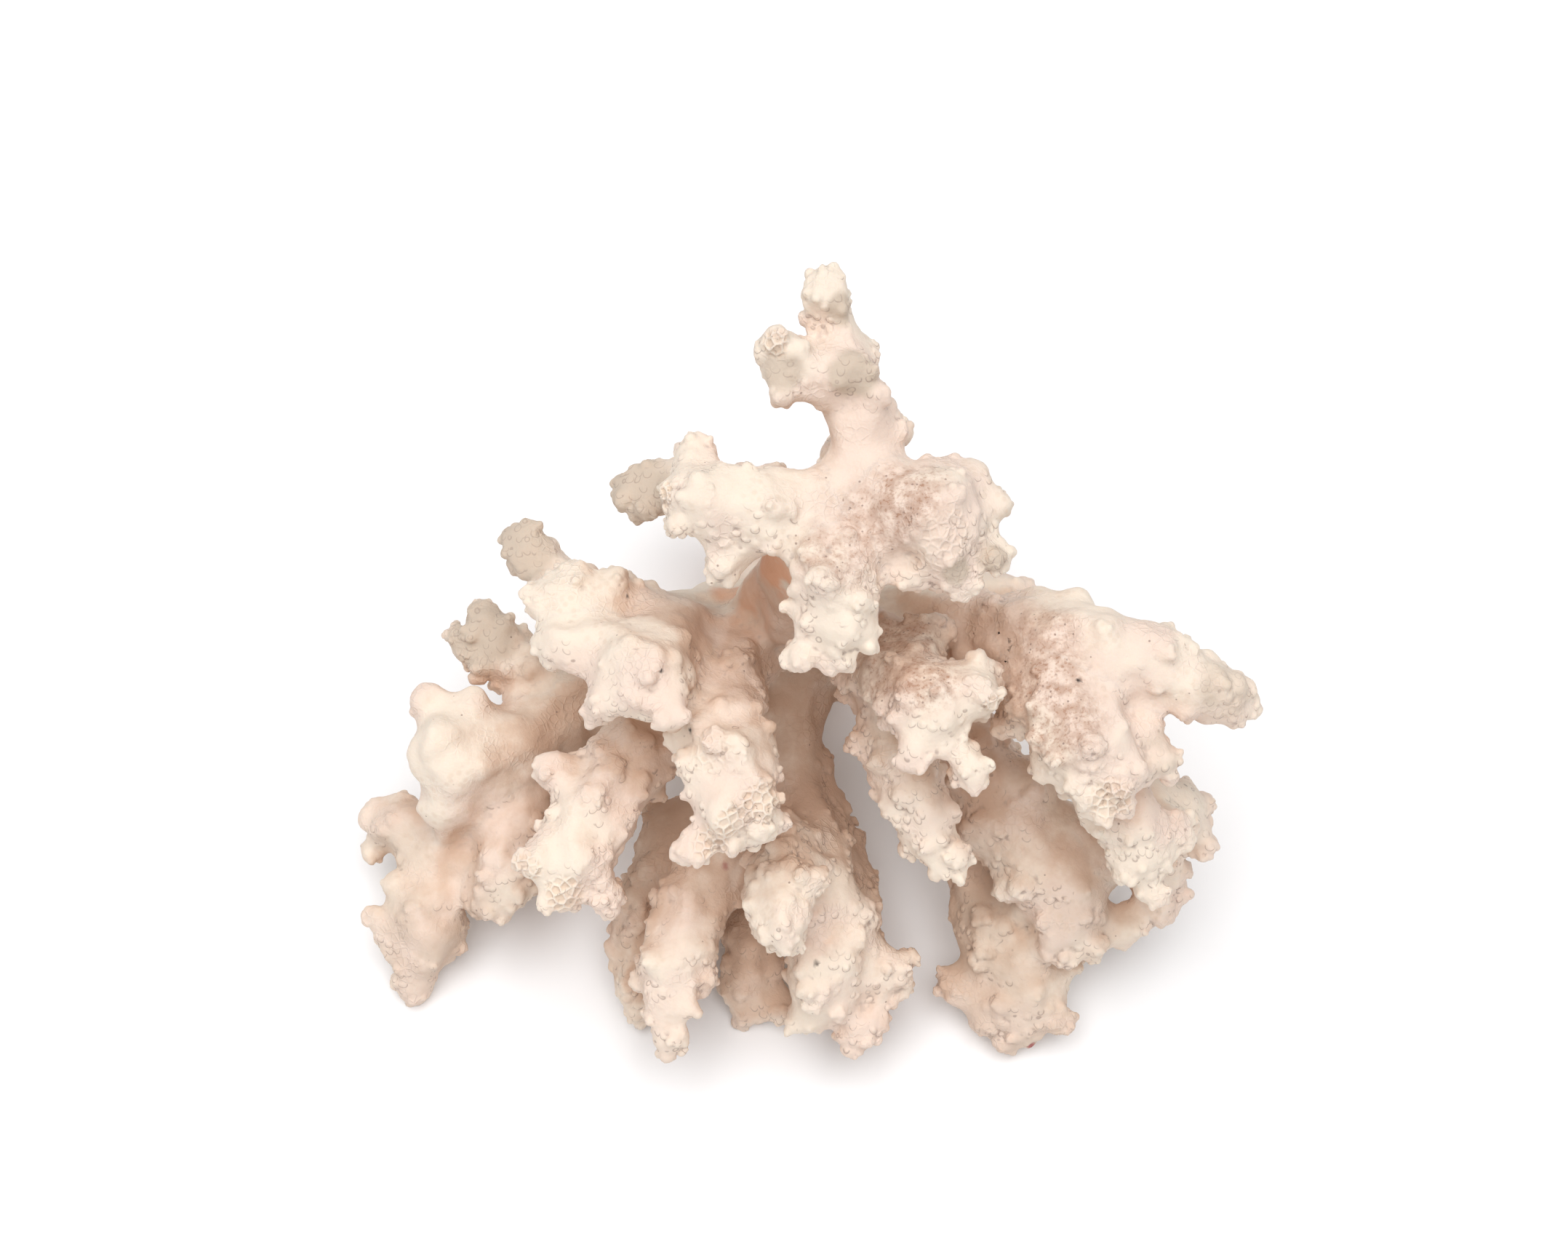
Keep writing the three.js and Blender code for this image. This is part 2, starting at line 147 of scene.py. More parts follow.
class Graph:
    """A node tree under construction, for a material or for geometry."""

    def __init__(self, tree: bpy.types.NodeTree) -> None:
        """Wraps a node tree."""
        self.tree = tree

    @staticmethod
    def socket(sockets: Any, key: str | int) -> bpy.types.NodeSocket:
        """The socket in use that has a name or a place.

        Args:
            sockets: A node's inputs or outputs.
            key: The socket's name or its index.

        Returns:
            The socket.
        """
        if isinstance(key, int):
            return sockets[key]
        return next(socket for socket in sockets if socket.name == key and socket.enabled)

    def node(self, kind: str, settings: dict[str, Any], inputs: dict[str | int, Any]) -> bpy.types.Node:
        """Adds one node.

        Args:
            kind: The node's type.
            settings: Its properties, which are set first.
            inputs: A number, colour, link or Value for each input socket, by name or index.

        Returns:
            The node.
        """
        node = self.tree.nodes.new(kind)
        for name, setting in settings.items():
            setattr(node, name, setting)
        for key, given in inputs.items():
            socket = self.socket(node.inputs, key)
            given = given.socket if isinstance(given, Value) else given
            if isinstance(given, bpy.types.NodeSocket):
                self.tree.links.new(given, socket)
            else:
                socket.default_value = given
        return node

    def out(self, kind: str, settings: dict[str, Any], inputs: dict[str | int, Any], key: Any = 0) -> Any:
        """Adds one node and gives the socket that carries its result.

        Args:
            kind: The node's type.
            settings: Its properties.
            inputs: Its inputs.
            key: The name or index of the output.

        Returns:
            The output socket.
        """
        return self.socket(self.node(kind, settings, inputs).outputs, key)

    def value(self, kind: str, settings: dict[str, Any], inputs: dict[str | int, Any], key: Any = 0) -> Value:
        """The result of a new node as a Value. It is given what out is given."""
        return Value(self, self.out(kind, settings, inputs, key))

    def constant(self, number: float) -> Value:
        """A plain number as a Value."""
        node = self.tree.nodes.new("ShaderNodeValue")
        node.outputs[0].default_value = number
        return Value(self, node.outputs[0])

    def vector(self, operation: str, *inputs: Any) -> Any:
        """Adds one Vector Math node and gives the socket of the vector that it works out."""
        return self.out("ShaderNodeVectorMath", {"operation": operation}, dict(enumerate(inputs)))

    def scaled(self, vector: Any, scale: Any) -> Any:
        """The socket of a vector times a number."""
        return self.out("ShaderNodeVectorMath", {"operation": "SCALE"}, {"Vector": vector, "Scale": scale})

    def measure(self, operation: str, *inputs: Any) -> Value:
        """The number that a Vector Math node works out, such as a length or a dot product."""
        settings = {"operation": operation}
        return self.value("ShaderNodeVectorMath", settings, dict(enumerate(inputs)), "Value")

    def noise(self, place: Any, size: float, detail: float = 2.0) -> Value:
        """Soft noise, mostly from 0.3 to 0.7, with blobs of a size in mm.

        Args:
            place: The socket of the position.
            size: How far apart its blobs lie.
            detail: How many finer layers it has.

        Returns:
            The noise.
        """
        inputs = {"Vector": place, "Scale": 1 / (size * MM), "Detail": detail}
        return self.value("ShaderNodeTexNoise", {}, inputs)

    def cells(self, place: Any, size: float, feature: str, key: str = "Distance") -> Any:
        """The socket of one measure of a pattern of cells.

        Args:
            place: The socket of the position.
            size: How far apart the cells' middles lie, in mm.
            feature: F1 for the distance to the nearest middle, or DISTANCE_TO_EDGE.
            key: The measure's name.

        Returns:
            The socket. A distance is a share of the size.
        """
        inputs = {"Vector": place, "Scale": 1 / (size * MM)}
        return self.out("ShaderNodeTexVoronoi", {"feature": feature}, inputs, key)

    def scales(self, place: Any, size: float) -> tuple[Value, Value]:
        """A pattern of small scales with curved outlines.

        Args:
            place: The socket of the position.
            size: How far apart the scales lie, in mm.

        Returns:
            How far each place lies from its scale's middle, as a share of the size, and how dark the thin
            line under the scale's lower rim is there, painted shade with some dirt.
        """
        inputs = {"Vector": place, "Scale": 0.5 / (size * MM), "Detail": 1.0}
        swirl = self.swirl(inputs)
        bent = self.vector("ADD", place, self.scaled(swirl, size * SCALE_BEND * MM))
        across = self.vector("SUBTRACT", bent, self.cells(bent, size, "F1", "Position"))
        lower = self.measure("DOT_PRODUCT", self.vector("NORMALIZE", across), DOWNHILL).ramp(-0.45, 0.15)
        far = Value(self, self.cells(bent, size, "F1"))
        line = far.ramp(SCALE_RIM - SCALE_LINE, SCALE_RIM) * far.ramp(SCALE_RIM + SCALE_LINE, SCALE_RIM)
        return far, line * lower

    def swirl(self, inputs: dict[str, Any]) -> Any:
        """The socket of a soft random vector about zero, from the inputs of its noise."""
        middle = (NOISE_MIDDLE, NOISE_MIDDLE, NOISE_MIDDLE)
        return self.vector("SUBTRACT", self.out("ShaderNodeTexNoise", {}, inputs, "Color"), middle)

    def mix(self, share: Value, low: Any, high: Any) -> Any:
        """Mixes two colours.

        Args:
            share: How much of the second colour shows.
            low: The first colour.
            high: The second colour.

        Returns:
            The socket of the mixed colour.
        """
        settings = {"data_type": "RGBA", "clamp_factor": True}
        return self.out("ShaderNodeMix", settings, {"Factor": share, "A": low, "B": high}, "Result")


class GeometryGraph(Graph):
    """A Geometry Nodes tree with named inputs, for one modifier."""

    def __init__(self, name: str, inputs: dict[str, Any]) -> None:
        """Starts a tree with a geometry input and a geometry output.

        Args:
            name: The tree's name.
            inputs: The number or object that each further input is given.
        """
        super().__init__(bpy.data.node_groups.new(name, "GeometryNodeTree"))
        self.given = inputs
        kinds = {int: "NodeSocketInt", float: "NodeSocketFloat", bpy.types.Object: "NodeSocketObject"}
        face = self.tree.interface
        face.new_socket("Geometry", in_out="INPUT", socket_type="NodeSocketGeometry")
        self.identifiers = {}
        for title, given in inputs.items():
            item = face.new_socket(title, in_out="INPUT", socket_type=kinds[type(given)])
            self.identifiers[title] = item.identifier
        face.new_socket("Geometry", in_out="OUTPUT", socket_type="NodeSocketGeometry")
        self.entry = self.tree.nodes.new("NodeGroupInput")
        self.exit = self.tree.nodes.new("NodeGroupOutput")
        self.place = self.out("GeometryNodeInputPosition", {}, {})
        self.normal = self.out("GeometryNodeInputNormal", {}, {})

    def given_input(self, title: str) -> Any:
        """The socket that carries a named input."""
        return self.entry.outputs[title]

    def attribute(self, name: str, kind: str = "FLOAT") -> Any:
        """The socket of a named attribute."""
        settings = {"data_type": kind}
        return self.out("GeometryNodeInputNamedAttribute", settings, {"Name": name}, "Attribute")

    def sample(self, source: str, name: str, kind: str = "FLOAT") -> Any:
        """The socket of an attribute at the nearest place on another object's surface.

        Args:
            source: The title of the input that names the object.
            name: The attribute's name there.
            kind: Its data type.

        Returns:
            The socket.
        """
        other = self.out("GeometryNodeObjectInfo", {}, {"Object": self.given_input(source)}, "Geometry")
        inputs = {"Mesh": other, "Value": self.attribute(name, kind)}
        return self.out("GeometryNodeSampleNearestSurface", {"data_type": kind}, inputs, "Value")

    def store(self, geometry: Any, name: str, given: Any, kind: str = "FLOAT",
              domain: str = "POINT") -> Any:
        """The socket of a geometry that holds one more named attribute.

        Args:
            geometry: The socket of the geometry.
            name: The attribute's name.
            given: The socket or Value that it takes.
            kind: Its data type.
            domain: POINT or FACE.

        Returns:
            The socket.
        """
        settings = {"data_type": kind, "domain": domain}
        inputs = {"Geometry": geometry, "Name": name, "Value": given}
        return self.out("GeometryNodeStoreNamedAttribute", settings, inputs)

    def finish(self, geometry: Any, material: bpy.types.Material) -> None:
        """Ends the tree in Realize Instances and Set Material.

        Args:
            geometry: The socket of the finished geometry.
            material: The finish that it gets.
        """
        real = self.out("GeometryNodeRealizeInstances", {}, {"Geometry": geometry})
        dressed = self.out("GeometryNodeSetMaterial", {}, {"Geometry": real, "Material": material})
        self.tree.links.new(dressed, self.exit.inputs[0])

    def put_on(self, piece: bpy.types.Object) -> None:
        """Adds the tree to an object as a modifier and sets its inputs by their identifiers."""
        modifier = piece.modifiers.new(self.tree.name, "NODES")
        modifier.node_group = self.tree
        for title, identifier in self.identifiers.items():
            modifier[identifier] = self.given[title]


class Growth(Enum):
    """How crowded a branch is with nubs and warts, and the share of its length past which they crowd."""

    BARE = (0.06, 0.9)
    SMOOTH = (0.5, 0.55)
    TIPPED = (0.8, 0.4)
    CROWDED = (1.0, 0.15)

    @property
    def crowding(self) -> float:
        """The share of the fullest crowd."""
        return self.value[0]

    @property
    def start(self) -> float:
        """The share of the branch's length where the crowd begins."""
        return self.value[1]


@dataclass(frozen=True)
class Branch:
    """One stretch of the skeleton between two forks."""

    node: str
    parent: str
    growth: Growth


BRANCHES = (
    Branch("base_stock", "", Growth.BARE),
    Branch("crown_stem", "base_stock", Growth.BARE),
    Branch("crown_top_branch", "crown_stem", Growth.TIPPED),
    Branch("crown_left_branch", "crown_stem", Growth.TIPPED),
    Branch("crown_back_branch", "crown_stem", Growth.CROWDED),
    Branch("crown_right_branch", "crown_stem", Growth.TIPPED),
    Branch("crown_rear_branch", "crown_stem", Growth.TIPPED),
    Branch("crown_front_branch", "crown_stem", Growth.TIPPED),
    Branch("left_arm", "base_stock", Growth.SMOOTH),
    Branch("left_upper_branch", "left_arm", Growth.TIPPED),
    Branch("left_bright_branch", "left_arm", Growth.SMOOTH),
    Branch("left_low_arm", "base_stock", Growth.BARE),
    Branch("left_lower_branch", "left_low_arm", Growth.TIPPED),
    Branch("left_back_branch", "left_low_arm", Growth.TIPPED),
    Branch("left_outer_branch", "left_low_arm", Growth.BARE),
    Branch("left_inner_branch", "left_low_arm", Growth.TIPPED),
    Branch("left_far_branch", "left_low_arm", Growth.SMOOTH),
    Branch("left_front_branch", "crown_stem", Growth.CROWDED),
    Branch("centre_stem", "base_stock", Growth.SMOOTH),
    Branch("front_left_branch", "centre_stem", Growth.TIPPED),
    Branch("front_low_left_branch", "centre_stem", Growth.TIPPED),
    Branch("front_right_branch", "centre_stem", Growth.CROWDED),
    Branch("front_knob_branch", "front_right_branch", Growth.CROWDED),
    Branch("front_low_branch", "centre_stem", Growth.SMOOTH),
    Branch("front_side_branch", "centre_stem", Growth.CROWDED),
    Branch("right_arm", "base_stock", Growth.SMOOTH),
    Branch("right_back_branch", "right_arm", Growth.SMOOTH),
    Branch("right_inner_branch", "right_arm", Growth.CROWDED),
    Branch("right_finger_branch", "right_arm", Growth.CROWDED),
    Branch("right_outer_branch", "right_arm", Growth.SMOOTH),
    Branch("right_middle_branch", "right_arm", Growth.CROWDED),
    Branch("right_lower_branch", "right_middle_branch", Growth.TIPPED),
    Branch("right_fan_branch", "base_stock", Growth.TIPPED),
    Branch("right_far_branch", "right_lower_branch", Growth.TIPPED),
    Branch("right_far_low_branch", "right_fan_branch", Growth.TIPPED),
    Branch("right_floor_branch", "base_stock", Growth.TIPPED),
    Branch("back_left_branch", "base_stock", Growth.TIPPED),
    Branch("back_right_branch", "base_stock", Growth.TIPPED),
    Branch("back_upper_branch", "base_stock", Growth.TIPPED),
)


@dataclass(frozen=True)
class Crop:
    """Lumps of one kind that grow all over the skeleton. Sizes are in mm, shares are of a lump's radius.

    A lump is an egg: length is its share along the branch and height its share outwards. A lean above 0
    bends it towards the branch's tip, and one below 0 lifts its tipward end like a hood. Bald is how much
    thinner the crop stands on faces that look up.
    """

    name: str
    spacing: float
    smallest: float
    largest: float
    length: float
    height: float
    sink: float
    lean: float
    wobble: float
    ridges: tuple[float, float]
    clearings: tuple[float, float]
    bald: float
    facets: int
    seed: int


NUBS = Crop("nubs", spacing=2.3, smallest=1.1, largest=2.1, length=1.0, height=0.9, sink=0.3, lean=0.4,
            wobble=0.16, ridges=(0.0, 0.15), clearings=(0.34, 0.5), bald=0.5, facets=3, seed=4)
WARTS = Crop("warts", spacing=1.45, smallest=0.5, largest=1.3, length=1.25, height=0.7, sink=0.35,
             lean=-0.3, wobble=0.18, ridges=(-0.2, 0.0), clearings=(0.38, 0.54), bald=0.9, facets=3, seed=9)
BEADS = Crop("beads", spacing=1.2, smallest=0.55, largest=0.95, length=1.0, height=1.0, sink=0.2, lean=0.2,
             wobble=0.1, ridges=(0.08, 0.22), clearings=(0.25, 0.4), bald=0.7, facets=2, seed=15)
SIZE_SKEW = 1.7  # above 1, small lumps outnumber large ones
WOBBLE_GAIN = 4.0  # soft noise strays from its middle by about a quarter of the whole at most
FULLEST_CROWD = 600000.0  # points to the square metre, more than any spacing leaves room for


class Sign(Enum):
    """What a mark on the skin is."""

    CUPS = "cups"
    DUST = "dust"
    STAIN = "stain"
    BLOT = "blot"
    SPECK = "speck"
    ASH = "ash"
    TAN = "tan"


@dataclass(frozen=True)
class Mark:
    """A mark on the skin: what it is, its pixel in the photograph, its radius in mm, and its strength."""

    sign: Sign
    pixel: tuple[int, int]
    radius: float
    strength: float = 1.0


MARKS = (
    Mark(Sign.CUPS, (1064, 474), 2.3),
    Mark(Sign.CUPS, (907, 680), 2.3),
    Mark(Sign.CUPS, (1305, 735), 4.5, 0.35),
    Mark(Sign.CUPS, (1270, 775), 3.5, 0.3),
    Mark(Sign.CUPS, (1050, 1105), 3.6),
    Mark(Sign.CUPS, (1010, 1132), 3.2, 0.9),
    Mark(Sign.CUPS, (975, 1158), 3.0, 0.9),
    Mark(Sign.CUPS, (970, 1030), 4.5, 0.3),
    Mark(Sign.CUPS, (722, 1195), 2.8, 0.8),
    Mark(Sign.CUPS, (778, 1232), 3.6, 0.9),
    Mark(Sign.CUPS, (1370, 972), 2.4, 0.8),
    Mark(Sign.CUPS, (1530, 1098), 4.0, 0.8),
    Mark(Sign.DUST, (1205, 712), 7.0, 0.8),
    Mark(Sign.DUST, (1240, 680), 7.0),
    Mark(Sign.DUST, (1262, 655), 5.0, 0.7),
    Mark(Sign.DUST, (1130, 755), 5.0, 0.7),
    Mark(Sign.DUST, (1165, 770), 5.0, 0.7),
    Mark(Sign.DUST, (1235, 880), 8.0),
    Mark(Sign.DUST, (1270, 925), 7.0),
    Mark(Sign.DUST, (1215, 930), 6.0, 0.8),
    Mark(Sign.DUST, (1370, 880), 7.0, 0.4),
    Mark(Sign.DUST, (1430, 870), 7.0, 0.7),
    Mark(Sign.DUST, (1430, 930), 8.0),
    Mark(Sign.DUST, (1455, 990), 8.0, 0.9),
    # the orange stain by the fork, spread over the shaded trunk so that it is partly painted shade; the weak
    # third mark is painted shade only
    Mark(Sign.STAIN, (1060, 785), 7.0),
    Mark(Sign.STAIN, (1005, 812), 4.0, 0.8),
    Mark(Sign.STAIN, (1030, 822), 7.0, 0.4),
    Mark(Sign.BLOT, (1418, 1437), 0.9),
    Mark(Sign.BLOT, (997, 1190), 0.7, 0.7),
    Mark(Sign.SPECK, (949, 1004), 0.45),
    Mark(Sign.SPECK, (1123, 1323), 0.5),
    Mark(Sign.SPECK, (862, 820), 0.4),
    Mark(Sign.SPECK, (909, 922), 0.4),
    Mark(Sign.SPECK, (1483, 935), 0.5),
    # grey patches: grey tone of the skin, and painted shade where parts lie low or behind
    Mark(Sign.ASH, (1175, 515), 4.5),
    Mark(Sign.ASH, (1160, 425), 3.0),
    Mark(Sign.ASH, (1075, 510), 4.0, 0.7),
    Mark(Sign.ASH, (860, 680), 9.0),
    Mark(Sign.ASH, (712, 750), 8.0, 0.9),
    Mark(Sign.ASH, (655, 870), 8.0, 0.9),
    Mark(Sign.ASH, (1690, 955), 7.0, 0.5),
    Mark(Sign.ASH, (1600, 1035), 6.0, 0.4),
    Mark(Sign.ASH, (1370, 768), 3.5, 0.8),
    Mark(Sign.ASH, (1315, 785), 3.0, 0.8),
    # painted shade on the low tips at the lower left and lower right
    Mark(Sign.TAN, (590, 1290), 12.0, 0.6),
    Mark(Sign.TAN, (640, 1230), 8.0, 0.6),
    Mark(Sign.TAN, (550, 1150), 8.0, 0.4),
    Mark(Sign.TAN, (1390, 1400), 13.0, 0.5),
    Mark(Sign.TAN, (1350, 1290), 11.0, 0.7),
    Mark(Sign.TAN, (1500, 1270), 10.0, 0.4),
)


@dataclass(frozen=True)
class Patches:
    """Soft patches: how far apart they lie in mm, the noise at their edge and inside, and finer layers."""

    size: float
    edge: float
    inside: float
    detail: float = 2.0

    def share(self, graph: Graph, place: Any) -> Value:
        """How far a place lies inside a patch, from 0 to 1."""
        return graph.noise(place, self.size, self.detail).ramp(self.edge, self.inside)


@dataclass(frozen=True)
class ChalkFinish:
    """The bleached skeleton: matt cream, with painted shade that is warmer and darker where branches hide the
    sky and low down, brown painted shade and dirt in its creases and under its scales, grey tones that are
    partly painted shade, with dust, stains and cups whose floors hold painted shade.

    Sizes are in mm, and each share is how much of its colour shows at most.
    """

    cream: tuple[float, ...] = (0.86, 0.742, 0.622, 1)
    rosy: tuple[float, ...] = (0.83, 0.67, 0.57, 1)
    # painted shade: the warm dark colour mixed in where branches hide the sky and low down
    inner: tuple[float, ...] = (0.62, 0.42, 0.30, 1)
    # painted shade and dirt in creases and under scale rims; also the colour of fine dark specks
    crease: tuple[float, ...] = (0.26, 0.17, 0.14, 1)
    dust: tuple[float, ...] = (0.44, 0.26, 0.18, 1)
    stain: tuple[float, ...] = (0.78, 0.36, 0.19, 1)
    blot: tuple[float, ...] = (0.35, 0.05, 0.06, 1)
    speck: tuple[float, ...] = (0.03, 0.02, 0.02, 1)
    # the cups' colour: faint spots of overgrown cups, and painted shade on the floors of open cups
    cup: tuple[float, ...] = (0.70, 0.54, 0.41, 1)
    # grey tone of the skin, partly painted shade
    ash: tuple[float, ...] = (0.61, 0.50, 0.40, 1)
    # painted shade on the low tips
    tan: tuple[float, ...] = (0.55, 0.42, 0.32, 1)
    painted_shade_share: float = 0.87
    crease_share: float = 0.55
    low_shade_share: float = 0.8
    grey_and_shade_share: float = 0.95
    line_share: float = 0.55
    grey_and_shade_line_share: float = 0.8
    dust_share: float = 0.7
    stain_share: float = 0.75
    blot_share: float = 0.8
    cup_share: float = 0.6
    faint_cup_share: float = 0.3
    dot_share: float = 0.7
    rosy_patches: Patches = Patches(14, 0.4, 0.62, 3)
    crease_patches: Patches = Patches(2.6, 0.36, 0.5)
    low_shade_patches: Patches = Patches(6, 0.2, 0.6)
    line_patches: Patches = Patches(5, 0.46, 0.56)
    cup_patches: Patches = Patches(11, 0.48, 0.6)
    film_patches: Patches = Patches(1.7, 0.32, 0.66, 4)
    grain_patches: Patches = Patches(0.45, 0.52, 0.64)
    stain_patches: Patches = Patches(4, 0.25, 0.5)
    rim_patches: Patches = Patches(7, 0.45, 0.65)
    # painted shade deepens below this height in mm, by this much
    shade_height: float = 45.0
    height_shade: float = 0.3
    wide_shade: tuple[float, float] = (9, 0.4)
    fine_shade: tuple[float, float] = (0.9, 0.25)
    grey_blur: tuple[float, float] = (2.5, 0.7)
    shaded: tuple[float, float] = (0.1, 0.8)
    creased: tuple[float, float] = (0.25, 1.1)
    greyed: tuple[float, float] = (0.1, 0.8)
    scaly: tuple[float, float] = (0.05, 0.4)
    cup_size: float = 1.15
    cup_middle: tuple[float, float] = (0.5, 0.2)
    cup_rim: tuple[float, float] = (0.16, 0.0)
    dot_spacing: float = 0.8
    dot_edge: tuple[float, float] = (0.26, 0.14)
    dot_lot: tuple[float, float] = (1.5, 1.54)
    dot_dust: float = 0.4
    grain_share: float = 0.5
    roughness: float = 0.86
    glow: float = 0.14
    glow_reach: float = 1.5
    glow_tint: tuple[float, ...] = (1.0, 0.7, 0.5)
    bump_grain: float = 0.5
    bump_detail: float = 3
    bump_shares: tuple[float, float] = (0.6, 0.5)
    bump_strength: float = 0.7
    bump_depth: float = 0.2

    def material(self, name: str) -> bpy.types.Material:
        """Builds the finish.

        Args:
            name: The material's name.

        Returns:
            The material.
        """
        material = bpy.data.materials.new(name)
        material.use_nodes = True
        graph = Graph(material.node_tree)
        shader = material.node_tree.nodes["Principled BSDF"]
        place = graph.out("ShaderNodeTexCoord", {}, {}, "Object")
        links = material.node_tree.links
        links.new(self.colour(graph, place), shader.inputs["Base Color"])
        links.new(self.relief(graph, place), shader.inputs["Normal"])
        shader.inputs["Roughness"].default_value = self.roughness
        shader.inputs["Subsurface Weight"].default_value = self.glow
        shader.inputs["Subsurface Radius"].default_value = self.glow_tint
        shader.inputs["Subsurface Scale"].default_value = self.glow_reach * MM
        return material

    @staticmethod
    def note(graph: Graph, name: str) -> Value:
        """An attribute of the skin."""
        return graph.value("ShaderNodeAttribute", {"attribute_name": name}, {}, "Fac")

    def colour(self, graph: Graph, place: Any) -> Any:
        """The socket of the skin's colour.

        Args:
            graph: The material's graph.
            place: The socket of the position.

        Returns:
            The socket.
        """
        height = graph.value("ShaderNodeSeparateXYZ", {}, {"Vector": place}, "Z")
        # painted shade: darker and warmer where the branches around hide the sky, lower down, and with soft
        # random strays
        low = height.ramp(self.shade_height * MM, 0.0)
        shade = self.note(graph, "shade") + low * self.height_shade + self.stray(graph, place, self.wide_shade)
        shade = shade + self.stray(graph, place, self.fine_shade)
        colour = graph.mix(self.rosy_patches.share(graph, place), self.cream, self.rosy)
        colour = graph.mix(shade.ramp(*self.shaded) * self.painted_shade_share, colour, self.inner)
        colour = self.faint_cups(graph, place, colour)
        # painted shade and dirt: dark brown in the creases
        crease = self.note(graph, "crease").ramp(*self.creased) * self.crease_patches.share(graph, place)
        colour = graph.mix(crease * self.crease_share, colour, self.crease)
        # painted shade on the low tips
        tan = self.note(graph, "tan") * self.low_shade_patches.share(graph, place)
        colour = graph.mix(tan * self.low_shade_share, colour, self.tan)
        # grey patches, partly painted shade
        ash = (self.note(graph, "ash") + self.stray(graph, place, self.grey_blur)).ramp(*self.greyed)
        colour = graph.mix(ash * self.grey_and_shade_share, colour, self.ash)
        # painted shade and dirt: thin dark lines under the scales' lower rims
        colour = graph.mix(self.scale_lines(graph, place) * self.line_share, colour, self.crease)
        colour = self.dusted(graph, place, colour)
        # stains, partly painted shade on the trunk
        stain = self.note(graph, "stain") * self.stain_patches.share(graph, place)
        colour = graph.mix(stain * self.stain_share, colour, self.stain)
        colour = graph.mix(self.note(graph, "blot") * self.blot_share, colour, self.blot)
        colour = graph.mix(self.note(graph, "speck"), colour, self.speck)
        # painted shade on the floors of the open cups
        return graph.mix(self.note(graph, "cup") * self.cup_share, colour, self.cup)

    @staticmethod
    def stray(graph: Graph, place: Any, noise: tuple[float, float]) -> Value:
        """Noise about zero, of a size in mm and a gain."""
        size, gain = noise
        return (graph.noise(place, size) - NOISE_MIDDLE) * gain

    def scale_lines(self, graph: Graph, place: Any) -> Value:
        """How dark the thin broken outlines of the scales are, painted shade and dirt under their lower rims.
        """
        _, line = graph.scales(place, SCALE_SIZE)
        scaly = self.line_patches.share(graph, place) * self.note(graph, "scaly").ramp(*self.scaly)
        return line * scaly.math("MAXIMUM", self.note(graph, "ash") * self.grey_and_shade_line_share)

    def faint_cups(self, graph: Graph, place: Any, colour: Any) -> Any:
        """The socket of the colour with faint beige spots where overgrown cups show through."""
        middle = Value(graph, graph.cells(place, self.cup_size, "F1")).ramp(*self.cup_middle)
        faint = middle * self.cup_patches.share(graph, place) * self.faint_cup_share
        return graph.mix(faint, colour, self.cup)

    def dusted(self, graph: Graph, place: Any, colour: Any) -> Any:
        """The socket of the colour with brown dust and fine dark specks."""
        dust = self.note(graph, "dust")
        film = dust * self.film_patches.share(graph, place)
        grains = dust * self.grain_patches.share(graph, place)
        colour = graph.mix((film + grains * self.grain_share) * self.dust_share, colour, self.dust)
        close = Value(graph, graph.cells(place, self.dot_spacing, "F1")).ramp(*self.dot_edge)
        lot = graph.measure("LENGTH", graph.cells(place, self.dot_spacing, "F1", "Color"))
        rare = (lot + dust * self.dot_dust).ramp(*self.dot_lot)
        return graph.mix(close * rare * self.dot_share, colour, self.crease)

    def relief(self, graph: Graph, place: Any) -> Any:
        """The socket of the normal, with fine grain and the rims of faint cups."""
        grain = graph.noise(place, self.bump_grain, self.bump_detail)
        rims = Value(graph, graph.cells(place, self.cup_size, "DISTANCE_TO_EDGE")).ramp(*self.cup_rim)
        grain_height, rim_height = self.bump_shares
        height = grain * grain_height + rims * self.rim_patches.share(graph, place) * rim_height
        inputs = {"Height": height, "Strength": self.bump_strength, "Distance": self.bump_depth * MM}
        return graph.out("ShaderNodeBump", {}, inputs, "Normal")


